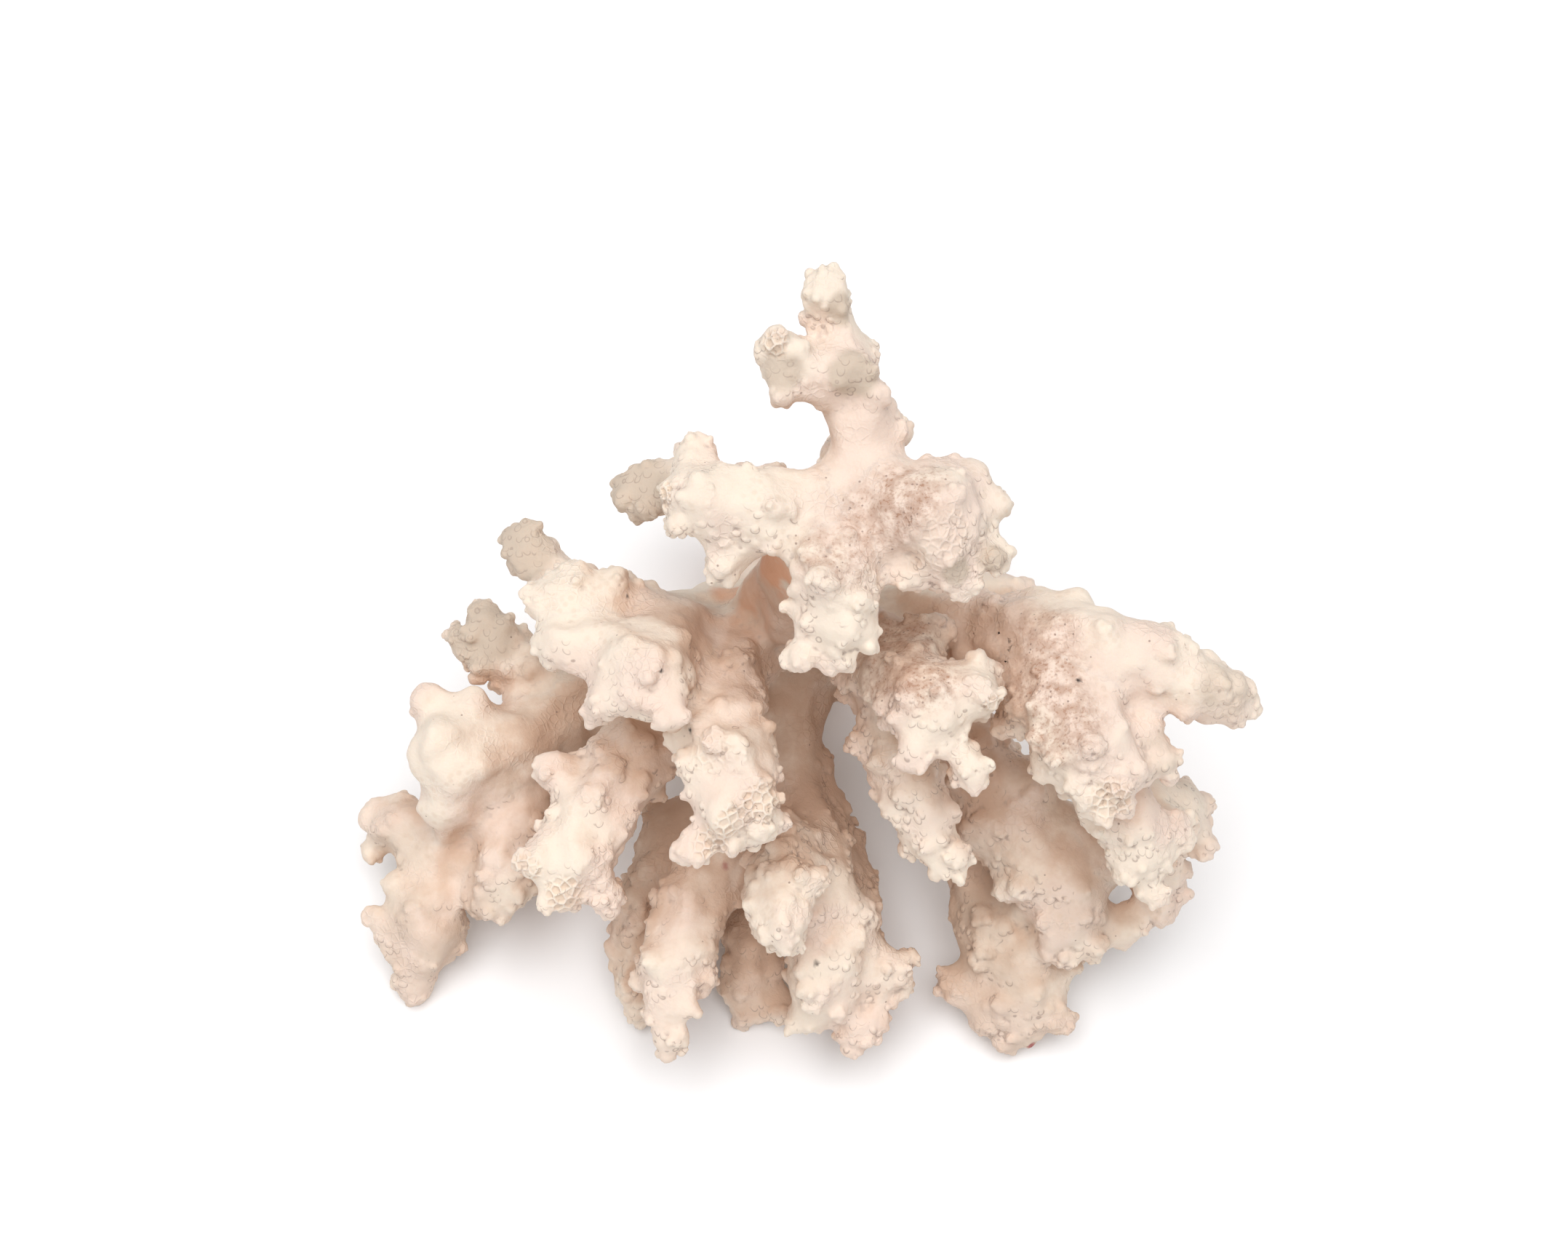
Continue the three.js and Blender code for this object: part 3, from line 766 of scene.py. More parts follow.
@dataclass
class Studio:
    """A plain pale floor, soft light from above and the photograph's camera. Sizes are in metres."""

    target: tuple[float, float, float] = (0.0, -0.022, 0.037)
    distance: float = 0.420
    elevation: float = 60.0
    metres_per_pixel: float = 0.00011
    sensor: float = 36.0
    nearest: float = 0.01
    floor_reach: float = 8.0
    floor_white: tuple[float, ...] = (0.95, 0.95, 0.96, 1)
    floor_roughness: float = 0.9
    lamp_place: tuple[float, float, float] = (-0.106, -0.53, 3.0)
    lamp_side: float = 3.2
    lamp_watts: float = 111.0
    sky_strength: float = 0.32

    @property
    def back(self) -> Vector:
        """The direction from the target to the camera."""
        rise = math.radians(self.elevation)
        return Vector((0, -math.cos(rise), math.sin(rise)))

    @property
    def eye(self) -> Vector:
        """The camera's place."""
        return Vector(self.target) + self.back * self.distance

    def sight(self, pixel: tuple[int, int]) -> Vector:
        """The direction in which the camera sees a pixel of the photograph."""
        across = Vector((1, 0, 0))
        up = self.back.cross(across)
        right = (pixel[0] - PHOTO_PIXELS[0] / 2) * self.metres_per_pixel
        down = (pixel[1] - PHOTO_PIXELS[1] / 2) * self.metres_per_pixel
        return (across * right - up * down - self.back * self.distance).normalized()

    def camera(self) -> None:
        """Sets the camera that looks down on the coral's front."""
        data = bpy.data.cameras.new("camera")
        data.sensor_width = self.sensor
        data.lens = self.sensor * self.distance / (self.metres_per_pixel * PHOTO_PIXELS[0])
        data.clip_start = self.nearest
        camera = bpy.data.objects.new("camera", data)
        camera.location = self.eye
        camera.rotation_euler = (-self.back).to_track_quat("-Z", "Y").to_euler()
        bpy.context.scene.collection.objects.link(camera)
        bpy.context.scene.camera = camera

    def floor(self) -> None:
        """Lays the floor."""
        mesh = bpy.data.meshes.new("floor")
        reach = self.floor_reach
        corners = [(-reach, -reach, 0), (reach, -reach, 0), (reach, reach, 0), (-reach, reach, 0)]
        mesh.from_pydata(corners, [], [(0, 1, 2, 3)])
        floor = bpy.data.objects.new("floor", mesh)
        bpy.context.scene.collection.objects.link(floor)
        material = bpy.data.materials.new("floor_white")
        material.use_nodes = True
        shader = material.node_tree.nodes["Principled BSDF"]
        shader.inputs["Base Color"].default_value = self.floor_white
        shader.inputs["Roughness"].default_value = self.floor_roughness
        mesh.materials.append(material)

    def lamp(self) -> None:
        """Hangs the square soft lamp, which faces the coral."""
        data = bpy.data.lights.new("overhead", "AREA")
        data.size = self.lamp_side
        data.energy = self.lamp_watts
        lamp = bpy.data.objects.new("overhead", data)
        lamp.location = self.lamp_place
        away = Vector(self.lamp_place) - Vector(self.target)
        lamp.rotation_euler = away.to_track_quat("Z", "Y").to_euler()
        bpy.context.scene.collection.objects.link(lamp)

    def sky(self) -> None:
        """Sets the even white light from all round."""
        world = bpy.data.worlds.new("world")
        world.use_nodes = True
        background = world.node_tree.nodes["Background"]
        background.inputs["Color"].default_value = SKY_WHITE
        background.inputs["Strength"].default_value = self.sky_strength
        bpy.context.scene.world = world

    def build(self) -> None:
        """Makes the whole studio."""
        self.camera()
        self.floor()
        self.lamp()
        self.sky()
        bpy.context.scene.view_settings.view_transform = "Standard"


class Skin:
    """The surface of a mesh as arrays."""

    def __init__(self, mesh: bpy.types.Mesh) -> None:
        """Reads a mesh whose faces all have as many corners."""
        self.points = self.read(mesh.vertices, "co", 3)
        self.normals = self.read(mesh.vertices, "normal", 3)
        self.edges = self.read(mesh.edges, "vertices", 2, np.int32)
        width = len(mesh.loops) // len(mesh.polygons)
        self.faces = self.read(mesh.loops, "vertex_index", 1, np.int32).reshape(-1, width)

    @staticmethod
    def read(rows: Any, name: str, width: int, kind: Any = np.float32) -> np.ndarray:
        """One property of every row of a collection.

        Args:
            rows: The collection.
            name: The property's name.
            width: How many numbers each row has.
            kind: Their type.

        Returns:
            The numbers, a row for each.
        """
        numbers = np.empty(len(rows) * width, kind)
        rows.foreach_get(name, numbers)
        return numbers.reshape(-1, width) if width > 1 else numbers

    def depth(self, rounds: int) -> np.ndarray:
        """How far each point lies below its surroundings, in mm. More rounds look further around."""
        one, two = self.edges.T
        size = len(self.points)
        count = np.bincount(one, minlength=size) + np.bincount(two, minlength=size)
        blurred = self.points.astype(np.float64)
        for _ in range(rounds):
            total = np.empty_like(blurred)
            for axis in range(3):
                total[:, axis] = np.bincount(one, blurred[two, axis], size)
                total[:, axis] += np.bincount(two, blurred[one, axis], size)
            blurred = total / count[:, None]
        return np.einsum("ij,ij->i", blurred - self.points, self.normals) / MM


@dataclass
class Skeleton:
    """The coral's skeleton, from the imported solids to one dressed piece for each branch, in mm."""

    branches: tuple[Branch, ...]
    studio: Studio
    fork_fill: float = 0.6
    cut_spare: float = 2.5
    coarse_voxel: float = 0.6
    middle_voxel: float = 0.42
    fine_voxel: float = 0.29
    kept_faces: float = 0.52
    web: float = 0.9
    rounding: int = 28
    clearing_size: float = 7
    body_swells: tuple[tuple[float, float], ...] = ((8.0, 3.0), (4.0, 1.2))
    skin_swells: tuple[tuple[float, float], ...] = ((3.2, 0.4), (0.9, 0.16))
    ridge_rounds: int = 10
    crease_rounds: int = 3
    crease_most: float = 1.5
    root_points: int = 8
    border_rounds: int = 24
    own_vote: float = 0.5
    level_skin: tuple[float, float] = (0.5, 0.9)
    crowd_edge: tuple[float, float] = (-0.2, 0.15)
    sky_rays: int = 28
    sky_reach: float = 30.0
    sky_lift: float = 0.8
    crease_depth: float = 0.08
    stained_reach: float = 24.0
    stain_slope: float = 1.6
    stain_most: float = 0.7
    scale_rise: float = 0.35
    scale_middle: float = 0.1
    scale_bald: float = 0.85
    scale_patches: tuple[float, float, float] = (5, 0.4, 0.54)
    cup_spacing: float = 1.15
    cup_depth: float = 0.34
    cup_wall: float = 0.12
    cup_wall_half: float = 0.06
    cup_slope: float = 0.2
    cup_variety: tuple[float, float] = (0.6, 1.2)
    cup_fade: float = 0.35
    cup_edge: float = 0.2
    cup_halvings: int = 5
    cup_levelling: int = 30
    lip: float = 0.7
    cap_edge: float = 1.0
    cap_halvings: int = 6
    small_ring: int = 12
    rest: float = 0.0
    places: list[tuple[Mark, Vector]] = field(default_factory=list)
    tree: BVHTree = field(init=False)

    def solids(self) -> bpy.types.Object:
        """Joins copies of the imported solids, each swelled by the fork fill so that they overlap there.

        Returns:
            One object, whose faces carry what the crops need to know of their branch.
        """
        points, faces, facts = [], [], []
        meshes = {branch.node: self.merged(branch.node) for branch in self.branches}
        for index, branch in enumerate(self.branches):
            own, normals, triangles = meshes[branch.node]
            root = self.root_of(own, meshes[branch.parent][0] if branch.parent else np.zeros((1, 3)))
            reach = np.linalg.norm(own - root, axis=1).max()
            start = sum(len(part) for part in points)
            swelled = own + normals * self.fork_fill * MM
            swelled[own[:, 2] < self.fork_fill * MM, 2] -= self.cut_spare * MM * (branch.parent == "")
            points.append(swelled)
            faces.append(triangles + start)
            fact = [index, *root, reach, branch.growth.crowding, branch.growth.start]
            facts.append(np.tile(fact, (len(triangles), 1)))
        mesh = bpy.data.meshes.new("solids")
        mesh.from_pydata(np.concatenate(points).tolist(), [], np.concatenate(faces).tolist())
        facts = np.concatenate(facts)
        self.store(mesh, "branch", facts[:, 0], "FACE")
        self.store(mesh, "root", facts[:, 1:4], "FACE")
        self.store(mesh, "reach", facts[:, 4], "FACE")
        self.store(mesh, "crowding", facts[:, 5], "FACE")
        self.store(mesh, "start", facts[:, 6], "FACE")
        return self.link(mesh)

    @staticmethod
    def merged(node: str) -> tuple[np.ndarray, np.ndarray, np.ndarray]:
        """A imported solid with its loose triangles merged.

        Args:
            node: The solid's name.

        Returns:
            Its points, their normals and its triangles.
        """
        work = bmesh.new()
        work.from_mesh(frame["nodes"][node].data)
        bmesh.ops.remove_doubles(work, verts=work.verts, dist=0.001 * MM)
        work.normal_update()
        points = np.array([vertex.co for vertex in work.verts])
        normals = np.array([vertex.normal for vertex in work.verts])
        triangles = np.array([[vertex.index for vertex in face.verts] for face in work.faces])
        work.free()
        return points, normals, triangles

    def root_of(self, own: np.ndarray, parent: np.ndarray) -> np.ndarray:
        """The middle of the points of a solid that lie nearest to its parent's."""
        gaps = np.linalg.norm(own[:, None] - parent[None], axis=2).min(axis=1)
        return own[np.argsort(gaps)[: self.root_points]].mean(axis=0)

    @staticmethod
    def store(mesh: bpy.types.Mesh, name: str, values: np.ndarray, domain: str = "POINT") -> None:
        """Puts numbers or vectors on a mesh as a named attribute.

        Args:
            mesh: The mesh.
            name: The attribute's name.
            values: One row for each point or face.
            domain: POINT or FACE.
        """
        is_vector = values.ndim == 2
        layer = mesh.attributes.new(name, "FLOAT_VECTOR" if is_vector else "FLOAT", domain)
        layer.data.foreach_set("vector" if is_vector else "value", values.astype(np.float32).ravel())

    @staticmethod
    def link(mesh: bpy.types.Mesh) -> bpy.types.Object:
        """A new object in the scene for a mesh, with the mesh's name."""
        piece = bpy.data.objects.new(mesh.name, mesh)
        bpy.context.scene.collection.objects.link(piece)
        return piece

    @staticmethod
    def settle(piece: bpy.types.Object) -> None:
        """Turns an object's evaluated modifiers into its plain mesh."""
        evaluated = piece.evaluated_get(bpy.context.evaluated_depsgraph_get())
        mesh = bpy.data.meshes.new_from_object(evaluated)
        piece.modifiers.clear()
        piece.data = mesh

    @staticmethod
    def remesh(piece: bpy.types.Object, voxel: float) -> None:
        """Adds a voxel remesh, which joins overlapping bodies, of a voxel in mm."""
        modifier = piece.modifiers.new("remesh", "REMESH")
        modifier.mode = "VOXEL"
        modifier.voxel_size = voxel * MM

    @staticmethod
    def smooth(piece: bpy.types.Object, rounds: int) -> None:
        """Adds a smoothing of some rounds."""
        modifier = piece.modifiers.new("smooth", "SMOOTH")
        modifier.iterations = rounds

    @staticmethod
    def swell(piece: bpy.types.Object, distance: float) -> None:
        """Adds a push along the normals, in mm."""
        modifier = piece.modifiers.new("swell", "DISPLACE")
        modifier.strength = distance * MM
        modifier.mid_level = 0

    def rounded(self, solids: bpy.types.Object, material: bpy.types.Material) -> bpy.types.Object:
        """A rounded, webbed and gently uneven body of the joined solids."""
        body = self.link(solids.data.copy())
        self.remesh(body, self.coarse_voxel)
        self.smooth(body, self.rounding)
        self.swell(body, self.web)
        self.remesh(body, self.coarse_voxel)
        self.smooth(body, self.rounding)
        self.swell(body, -self.web)
        self.relief_tree("unevenness", *self.body_swells, material).put_on(body)
        self.smooth(body, 2)
        self.settle(body)
        return body

    def grow(self, body: bpy.types.Object, solids: bpy.types.Object, crops: tuple[Crop, ...],
             voxel: float, smoothing: int, material: bpy.types.Material) -> None:
        """Covers a body with crops and joins the lumps to it.

        Args:
            body: The body.
            solids: The joined solids.
            crops: The kinds of lumps.
            voxel: The voxel of the join.
            smoothing: How many rounds soften it.
            material: The finish.
        """
        self.store(body.data, "ridge", -Skin(body.data).depth(self.ridge_rounds))
        for crop in crops:
            self.crop_tree(solids, crop, material).put_on(body)
        self.remesh(body, voxel)
        self.smooth(body, smoothing)
        self.settle(body)

    def growth(self, graph: GeometryGraph) -> tuple[Any, Value]:
        """The way from the branch's root to each point, and how crowded the branch is with lumps there."""
        away = graph.vector("SUBTRACT", graph.place, graph.sample("Solids", "root", "FLOAT_VECTOR"))
        along = graph.measure("LENGTH", away) / Value(graph, graph.sample("Solids", "reach"))
        start = Value(graph, graph.sample("Solids", "start"))
        crowding = Value(graph, graph.sample("Solids", "crowding"))
        return away, (along - start).ramp(*self.crowd_edge) * crowding

    def upward(self, graph: GeometryGraph) -> Value:
        """How far the skin looks up, from 0 on a slope to 1 where it is level."""
        return graph.measure("DOT_PRODUCT", graph.normal, UP).ramp(*self.level_skin)

    def scale_tree(self, solids: bpy.types.Object, material: bpy.types.Material) -> GeometryGraph:
        """The tree that raises small scales where the skin is crowded, and notes how crowded it is."""
        graph = GeometryGraph("scales", {"Solids": solids, "Rise": self.scale_rise * MM})
        _, crowd = self.growth(graph)
        size, edge, inside = self.scale_patches
        crowd = crowd * graph.noise(graph.place, size, 1).ramp(edge, inside)
        crowd = crowd * (1 - self.upward(graph) * self.scale_bald)
        far, _ = graph.scales(graph.place, SCALE_SIZE)
        rise = far.ramp(SCALE_RIM, self.scale_middle) * crowd * Value(graph, graph.given_input("Rise"))
        noted = graph.store(graph.given_input("Geometry"), "scaly", crowd)
        inputs = {"Geometry": noted, "Offset": graph.scaled(graph.normal, rise)}
        graph.finish(graph.out("GeometryNodeSetPosition", {}, inputs), material)
        return graph

    def crop_tree(self, solids: bpy.types.Object, crop: Crop, material: bpy.types.Material) -> GeometryGraph:
        """The tree that scatters a crop over a body. It crowds on ridges and towards the branches' tips."""
        graph = GeometryGraph(crop.name, {
            "Solids": solids,
            "Spacing": crop.spacing * MM,
            "Smallest": crop.smallest * MM,
            "Largest": crop.largest * MM,
            "Length": crop.length,
            "Height": crop.height,
            "Sink": crop.sink,
            "Lean": crop.lean,
            "Wobble": crop.wobble,
            "Bald": crop.bald,
            "Seed": crop.seed,
        })
        body = graph.given_input("Geometry")
        away, crowd = self.growth(graph)
        crowd = crowd * Value(graph, graph.attribute("ridge")).ramp(*crop.ridges)
        crowd = crowd * graph.noise(graph.place, self.clearing_size, 1).ramp(*crop.clearings)
        crowd = crowd * (1 - self.upward(graph) * Value(graph, graph.given_input("Bald")))
        noted = graph.store(body, "tipward", graph.vector("NORMALIZE", away), "FLOAT_VECTOR")
        scatter = graph.node("GeometryNodeDistributePointsOnFaces", {"distribute_method": "POISSON"}, {
            "Mesh": noted,
            "Distance Min": graph.given_input("Spacing"),
            "Density Max": FULLEST_CROWD,
            "Density Factor": crowd,
            "Seed": graph.given_input("Seed"),
        })
        outward = graph.socket(scatter.outputs, "Normal")
        tipward = graph.attribute("tipward", "FLOAT_VECTOR")
        seed = {"Seed": graph.given_input("Seed")}
        lot = graph.value("FunctionNodeRandomValue", {"data_type": "FLOAT"}, seed, "Value")
        small, large = (Value(graph, graph.given_input(title)) for title in ("Smallest", "Largest"))
        size = small + (large - small) * lot.math("POWER", SIZE_SKEW)
        points = graph.store(graph.socket(scatter.outputs, "Points"), "size", size)
        points = graph.store(points, "outward", outward, "FLOAT_VECTOR")
        size = Value(graph, graph.attribute("size"))
        outward = graph.attribute("outward", "FLOAT_VECTOR")
        inward = graph.scaled(outward, 0 - size * Value(graph, graph.given_input("Sink")))
        points = graph.out("GeometryNodeSetPosition", {}, {"Geometry": points, "Offset": inward})
        axis = graph.vector("ADD", outward, graph.scaled(tipward, graph.given_input("Lean")))
        turn = graph.out("FunctionNodeAlignRotationToVector", {"axis": "Z"}, {"Vector": axis})
        turn = graph.out("FunctionNodeAlignRotationToVector", {"axis": "X", "pivot_axis": "Z"},
                         {"Rotation": turn, "Vector": tipward})
        egg = graph.out("ShaderNodeCombineXYZ", {}, {
            "X": size * Value(graph, graph.given_input("Length")),
            "Y": size,
            "Z": size * Value(graph, graph.given_input("Height")),
        })
        ball = {"Radius": 1.0, "Subdivisions": crop.facets}
        lump = graph.out("GeometryNodeMeshIcoSphere", {}, ball, "Mesh")
        lumps = graph.out("GeometryNodeInstanceOnPoints", {}, {
            "Points": points, "Instance": lump, "Rotation": turn, "Scale": egg,
        }, "Instances")
        real = graph.out("GeometryNodeRealizeInstances", {}, {"Geometry": lumps})
        swirl = graph.swirl({"Vector": graph.place, "Scale": 0.5 / (crop.largest * MM), "Detail": 1.0})
        wobble = size * Value(graph, graph.given_input("Wobble")) * WOBBLE_GAIN
        inputs = {"Geometry": real, "Offset": graph.scaled(swirl, wobble)}
        real = graph.out("GeometryNodeSetPosition", {}, inputs)
        joined = graph.node("GeometryNodeJoinGeometry", {}, {})
        graph.tree.links.new(real, joined.inputs[0])
        graph.tree.links.new(body, joined.inputs[0])
        graph.finish(joined.outputs[0], material)
        return graph

    def shade_tree(self, material: bpy.types.Material) -> GeometryGraph:
        """The tree that notes how much of the sky above each point of a body the branches around hide."""
        graph = GeometryGraph("shade", {"Reach": self.sky_reach * MM, "Lift": self.sky_lift * MM})
        body = graph.given_input("Geometry")
        start = graph.vector("ADD", graph.place, graph.scaled(graph.normal, graph.given_input("Lift")))
        hidden = graph.constant(0.0)
        whole = graph.constant(SUM_START)
        for index in range(self.sky_rays):
            height = 1 - (index + 0.5) * 2 / self.sky_rays
            turn = index * math.pi * (3 - math.sqrt(5))
            flat = math.sqrt(1 - height * height)
            ray = (flat * math.cos(turn), flat * math.sin(turn), height)
            share = graph.measure("DOT_PRODUCT", graph.normal, ray).math("MAXIMUM", 0.0)
            hit = graph.value("GeometryNodeRaycast", {}, {
                "Target Geometry": body, "Source Position": start, "Ray Direction": ray,
                "Ray Length": graph.given_input("Reach"),
            }, "Is Hit")
            hidden = hidden + share * hit
            whole = whole + share
        graph.finish(graph.store(body, "shade", hidden / whole), material)
        return graph

    @staticmethod
    def relief_tree(name: str, coarse: tuple[float, float], fine: tuple[float, float],
                    material: bpy.types.Material) -> GeometryGraph:
        """The tree that moves the skin out and in at random, in two sizes.

        Args:
            name: The tree's name.
            coarse: How far apart the larger swells lie and how high they are, in mm.
            fine: The same of the smaller ones.
            material: The finish.

        Returns:
            The tree.
        """
        graph = GeometryGraph(name, {"Swell": coarse[1] * MM, "Grain": fine[1] * MM})
        swell, grain = (
            (graph.noise(graph.place, size, 1) - NOISE_MIDDLE) * Value(graph, graph.given_input(title))
            for size, title in ((coarse[0], "Swell"), (fine[0], "Grain")))
        offset = graph.scaled(graph.normal, swell + grain)
        inputs = {"Geometry": graph.given_input("Geometry"), "Offset": offset}
        graph.finish(graph.out("GeometryNodeSetPosition", {}, inputs), material)
        return graph

    def grown(self, material: bpy.types.Material) -> bpy.types.Object:
        """The whole skeleton's fine surface, with its nubs and warts, and notes on every point and face."""
        solids = self.solids()
        coarse = self.rounded(solids, material)
        body = self.link(coarse.data.copy())
        self.shade_tree(material).put_on(coarse)
        self.settle(coarse)
        middle = self.middle_voxel
        fine = self.fine_voxel
        self.grow(body, solids, (NUBS,), middle, 2, material)
        self.grow(body, solids, (BEADS, WARTS), fine, 1, material)
        self.scale_tree(solids, material).put_on(body)
        self.relief_tree("relief", *self.skin_swells, material).put_on(body)
        self.settle(body)
        # the depth of the creases, which sets painted shade and dirt there
        self.store(body.data, "crease", Skin(body.data).depth(self.crease_rounds))
        dense = self.link(body.data.copy())
        thin = body.modifiers.new("thin", "DECIMATE")
        thin.ratio = self.kept_faces
        self.settle(body)
        notes = GeometryGraph("notes", {"Solids": solids, "Coarse": coarse, "Dense": dense})
        geometry = notes.given_input("Geometry")
        for name, source in (("crease", "Dense"), ("scaly", "Dense"), ("shade", "Coarse")):
            geometry = notes.store(geometry, name, notes.sample(source, name))
        geometry = notes.store(geometry, "branch", notes.sample("Solids", "branch"), domain="FACE")
        triangles = notes.out("GeometryNodeTriangulate", {}, {"Mesh": geometry})
        notes.finish(triangles, material)
        notes.put_on(body)
        self.settle(body)
        for helper in (solids, coarse, dense):
            bpy.data.objects.remove(helper)
        return body

    def pieces(self, material: bpy.types.Material) -> None:
        """Builds the skeleton and parts it into its branches."""
        body = self.grown(material)
        self.place_marks(body)
        self.tree = BVHTree.FromObject(body, bpy.context.evaluated_depsgraph_get())
        mesh = body.data
        skin = Skin(mesh)
        log.info("skeleton: %d triangles", len(skin.faces))
        labels = Skin.read(mesh.attributes["branch"].data, "value", 1)
        labels = self.settled_labels(skin.faces, np.round(labels).astype(int))
        crease = Skin.read(mesh.attributes["crease"].data, "value", 1)
        notes = {
            "crease": np.clip(crease / self.crease_depth, 0, self.crease_most),
            "shade": Skin.read(mesh.attributes["shade"].data, "value", 1),
            "scaly": Skin.read(mesh.attributes["scaly"].data, "value", 1),
        }
        for sign in (Sign.DUST, Sign.STAIN, Sign.BLOT, Sign.SPECK, Sign.ASH, Sign.TAN):
            notes[sign.value] = self.nearness(skin.points, sign)
        from_cut = np.linalg.norm(skin.points, axis=1) / (self.stained_reach * MM)
        near_cut = np.clip(self.stain_slope - self.stain_slope * from_cut, 0, self.stain_most)
        notes[Sign.STAIN.value] = np.maximum(notes[Sign.STAIN.value], near_cut)
        bpy.data.objects.remove(body)
        for index, branch in enumerate(self.branches):
            self.part(branch, skin, skin.faces[labels == index], notes, material)

    def place_marks(self, body: bpy.types.Object) -> None:
        """Finds each mark's place: where the camera's sight of its pixel meets the skin."""
        for mark in MARKS:
            hit, place, _, _ = body.ray_cast(self.studio.eye, self.studio.sight(mark.pixel))
            if hit:
                self.places.append((mark, place))
            else:
                log.warning("no skin at pixel %s for %s", mark.pixel, mark.sign.value)

    def nearness(self, points: np.ndarray, sign: Sign) -> np.ndarray:
        """How near each point lies to a mark of one kind, from 0 at its edge to 1 well inside."""
        near = np.zeros(len(points))
        for mark, place in self.places:
            if mark.sign is sign:
                gap = np.linalg.norm(points - np.array(place), axis=1) / (mark.radius * MM)
                near = np.maximum(near, np.clip((1 - gap) * 2, 0, 1) * mark.strength)
        return near

    def settled_labels(self, faces: np.ndarray, labels: np.ndarray) -> np.ndarray:
        """Smooths the borders between branches: a face joins the branch of most of its neighbours.

        Args:
            faces: The corners of each face.
            labels: The branch of each face.

        Returns:
            The settled branch of each face.
        """
        width = faces.shape[1]
        ends = np.stack([faces, np.roll(faces, -1, axis=1)], axis=2).reshape(-1, 2)
        ends.sort(axis=1)
        owner = np.repeat(np.arange(len(faces)), width)
        order = np.lexsort((ends[:, 1], ends[:, 0]))
        ends, owner = ends[order], owner[order]
        shared = np.flatnonzero((ends[1:] == ends[:-1]).all(axis=1))
        one, two = owner[shared], owner[shared + 1]
        kinds = len(self.branches)
        for _ in range(self.border_rounds):
            votes = np.bincount(one * kinds + labels[two], minlength=len(faces) * kinds)
            votes += np.bincount(two * kinds + labels[one], minlength=len(faces) * kinds)
            votes = votes.reshape(-1, kinds).astype(np.float32)
            votes[np.arange(len(faces)), labels] += self.own_vote
            labels = votes.argmax(axis=1)
        return labels

    def part(self, branch: Branch, skin: Skin, faces: np.ndarray, notes: dict[str, np.ndarray],
             material: bpy.types.Material) -> None:
        """Makes one branch's closed piece and dresses it.

        Args:
            branch: The branch.
            skin: The whole skeleton's surface.
            faces: The branch's share of its faces.
            notes: What is noted of each of its points.
            material: The finish.
        """
        used, local = np.unique(faces, return_inverse=True)
        mesh = bpy.data.meshes.new(branch.node + "_skeleton")
        mesh.from_pydata(skin.points[used].tolist(), [], local.reshape(faces.shape).tolist())
        for name, values in notes.items():
            self.store(mesh, name, values[used])
        for name in ("cup", "inside"):
            self.store(mesh, name, np.zeros(len(used)))
        work = bmesh.new()
        work.from_mesh(mesh)
        rim = {vertex.co[:]: Vector(skin.normals[used[vertex.index]])
               for edge in work.edges if edge.is_boundary for vertex in edge.verts}
        self.open_cups(work, rim)
        self.close(work, rim)
        self.cut_flat(work)
        work.verts.index_update()
        work.to_mesh(mesh)
        turned = [rim.get(vertex.co[:], (0, 0, 0)) for vertex in work.verts]
        work.free()
        mesh.attributes.remove(mesh.attributes["inside"])
        mesh.shade_smooth()
        mesh.normals_split_custom_set_from_vertices(turned)
        mesh.materials.append(material)
        piece = self.link(mesh)
        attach(piece, BODY)
        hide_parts(branch.node)
        log.info("%s: %d triangles", piece.name, len(mesh.polygons))

    def cup_share(self, place: Vector) -> float:
        """How open the cups are at a place, from 0 away from their marks to a mark's strength well inside."""
        shares = [self.eased((1 - (place - middle).length / (mark.radius * MM)) / self.cup_fade)
                  * mark.strength for mark, middle in self.places if mark.sign is Sign.CUPS]
        return max(shares)

    def open_cups(self, work: bmesh.types.BMesh, rim: dict[Any, Vector]) -> None:
        """Opens a honeycomb of cups in a branch's skin wherever a mark asks for it.

        Args:
            work: The branch's mesh.
            rim: The points of the branch's rims, which stay where they are.
        """
        for _ in range(self.cup_halvings):
            near = {vertex for vertex in work.verts if self.cup_share(vertex.co) > 0}
            long = [edge for edge in work.edges if not near.isdisjoint(edge.verts)
                    and not edge.is_boundary and edge.calc_length() > self.cup_edge * MM]
            if not long:
                break
            bmesh.ops.subdivide_edges(work, edges=long, cuts=1)
            bmesh.ops.triangulate(work, faces=[face for face in work.faces if len(face.verts) > 3])
        work.normal_update()
        work.verts.index_update()
        near = [vertex for vertex in work.verts if self.cup_share(vertex.co) > 0]
        if not near:
            return
        level = [vertex for vertex in near if vertex.co[:] not in rim]
        for _ in range(self.cup_levelling):
            bmesh.ops.smooth_vert(work, verts=level, factor=0.5, use_axis_x=True, use_axis_y=True,
                                  use_axis_z=True)
        work.normal_update()
        draw = random.Random(len(near))
        middles = []
        for vertex in draw.sample(near, len(near)):
            if all((vertex.co - middle).length > self.cup_spacing * MM for middle in middles):
                middles.append(vertex.co.copy())
        if len(middles) < 2:
            return
        tree = kdtree.KDTree(len(middles))
        for index, middle in enumerate(middles):
            tree.insert(middle, index)
        tree.balance()
        layer = work.verts.layers.float["cup"]
        lots = [draw.uniform(*self.cup_variety) for _ in middles]
        moves = {}
        for vertex in level:
            (_, one, first), (_, two, second) = tree.find_n(vertex.co, 2)
            open_share = self.eased(((second - first) / 2 / MM - self.cup_wall_half) / self.cup_slope)
            fade = self.cup_share(vertex.co)
            vertex[layer] = open_share * fade * lots[one]
            rise = self.cup_wall * lots[one] * lots[two] * (1 - open_share)
            moves[vertex] = (rise - self.cup_depth * lots[one] * open_share) * fade * MM
        for vertex, move in moves.items():
            vertex.co += vertex.normal * move

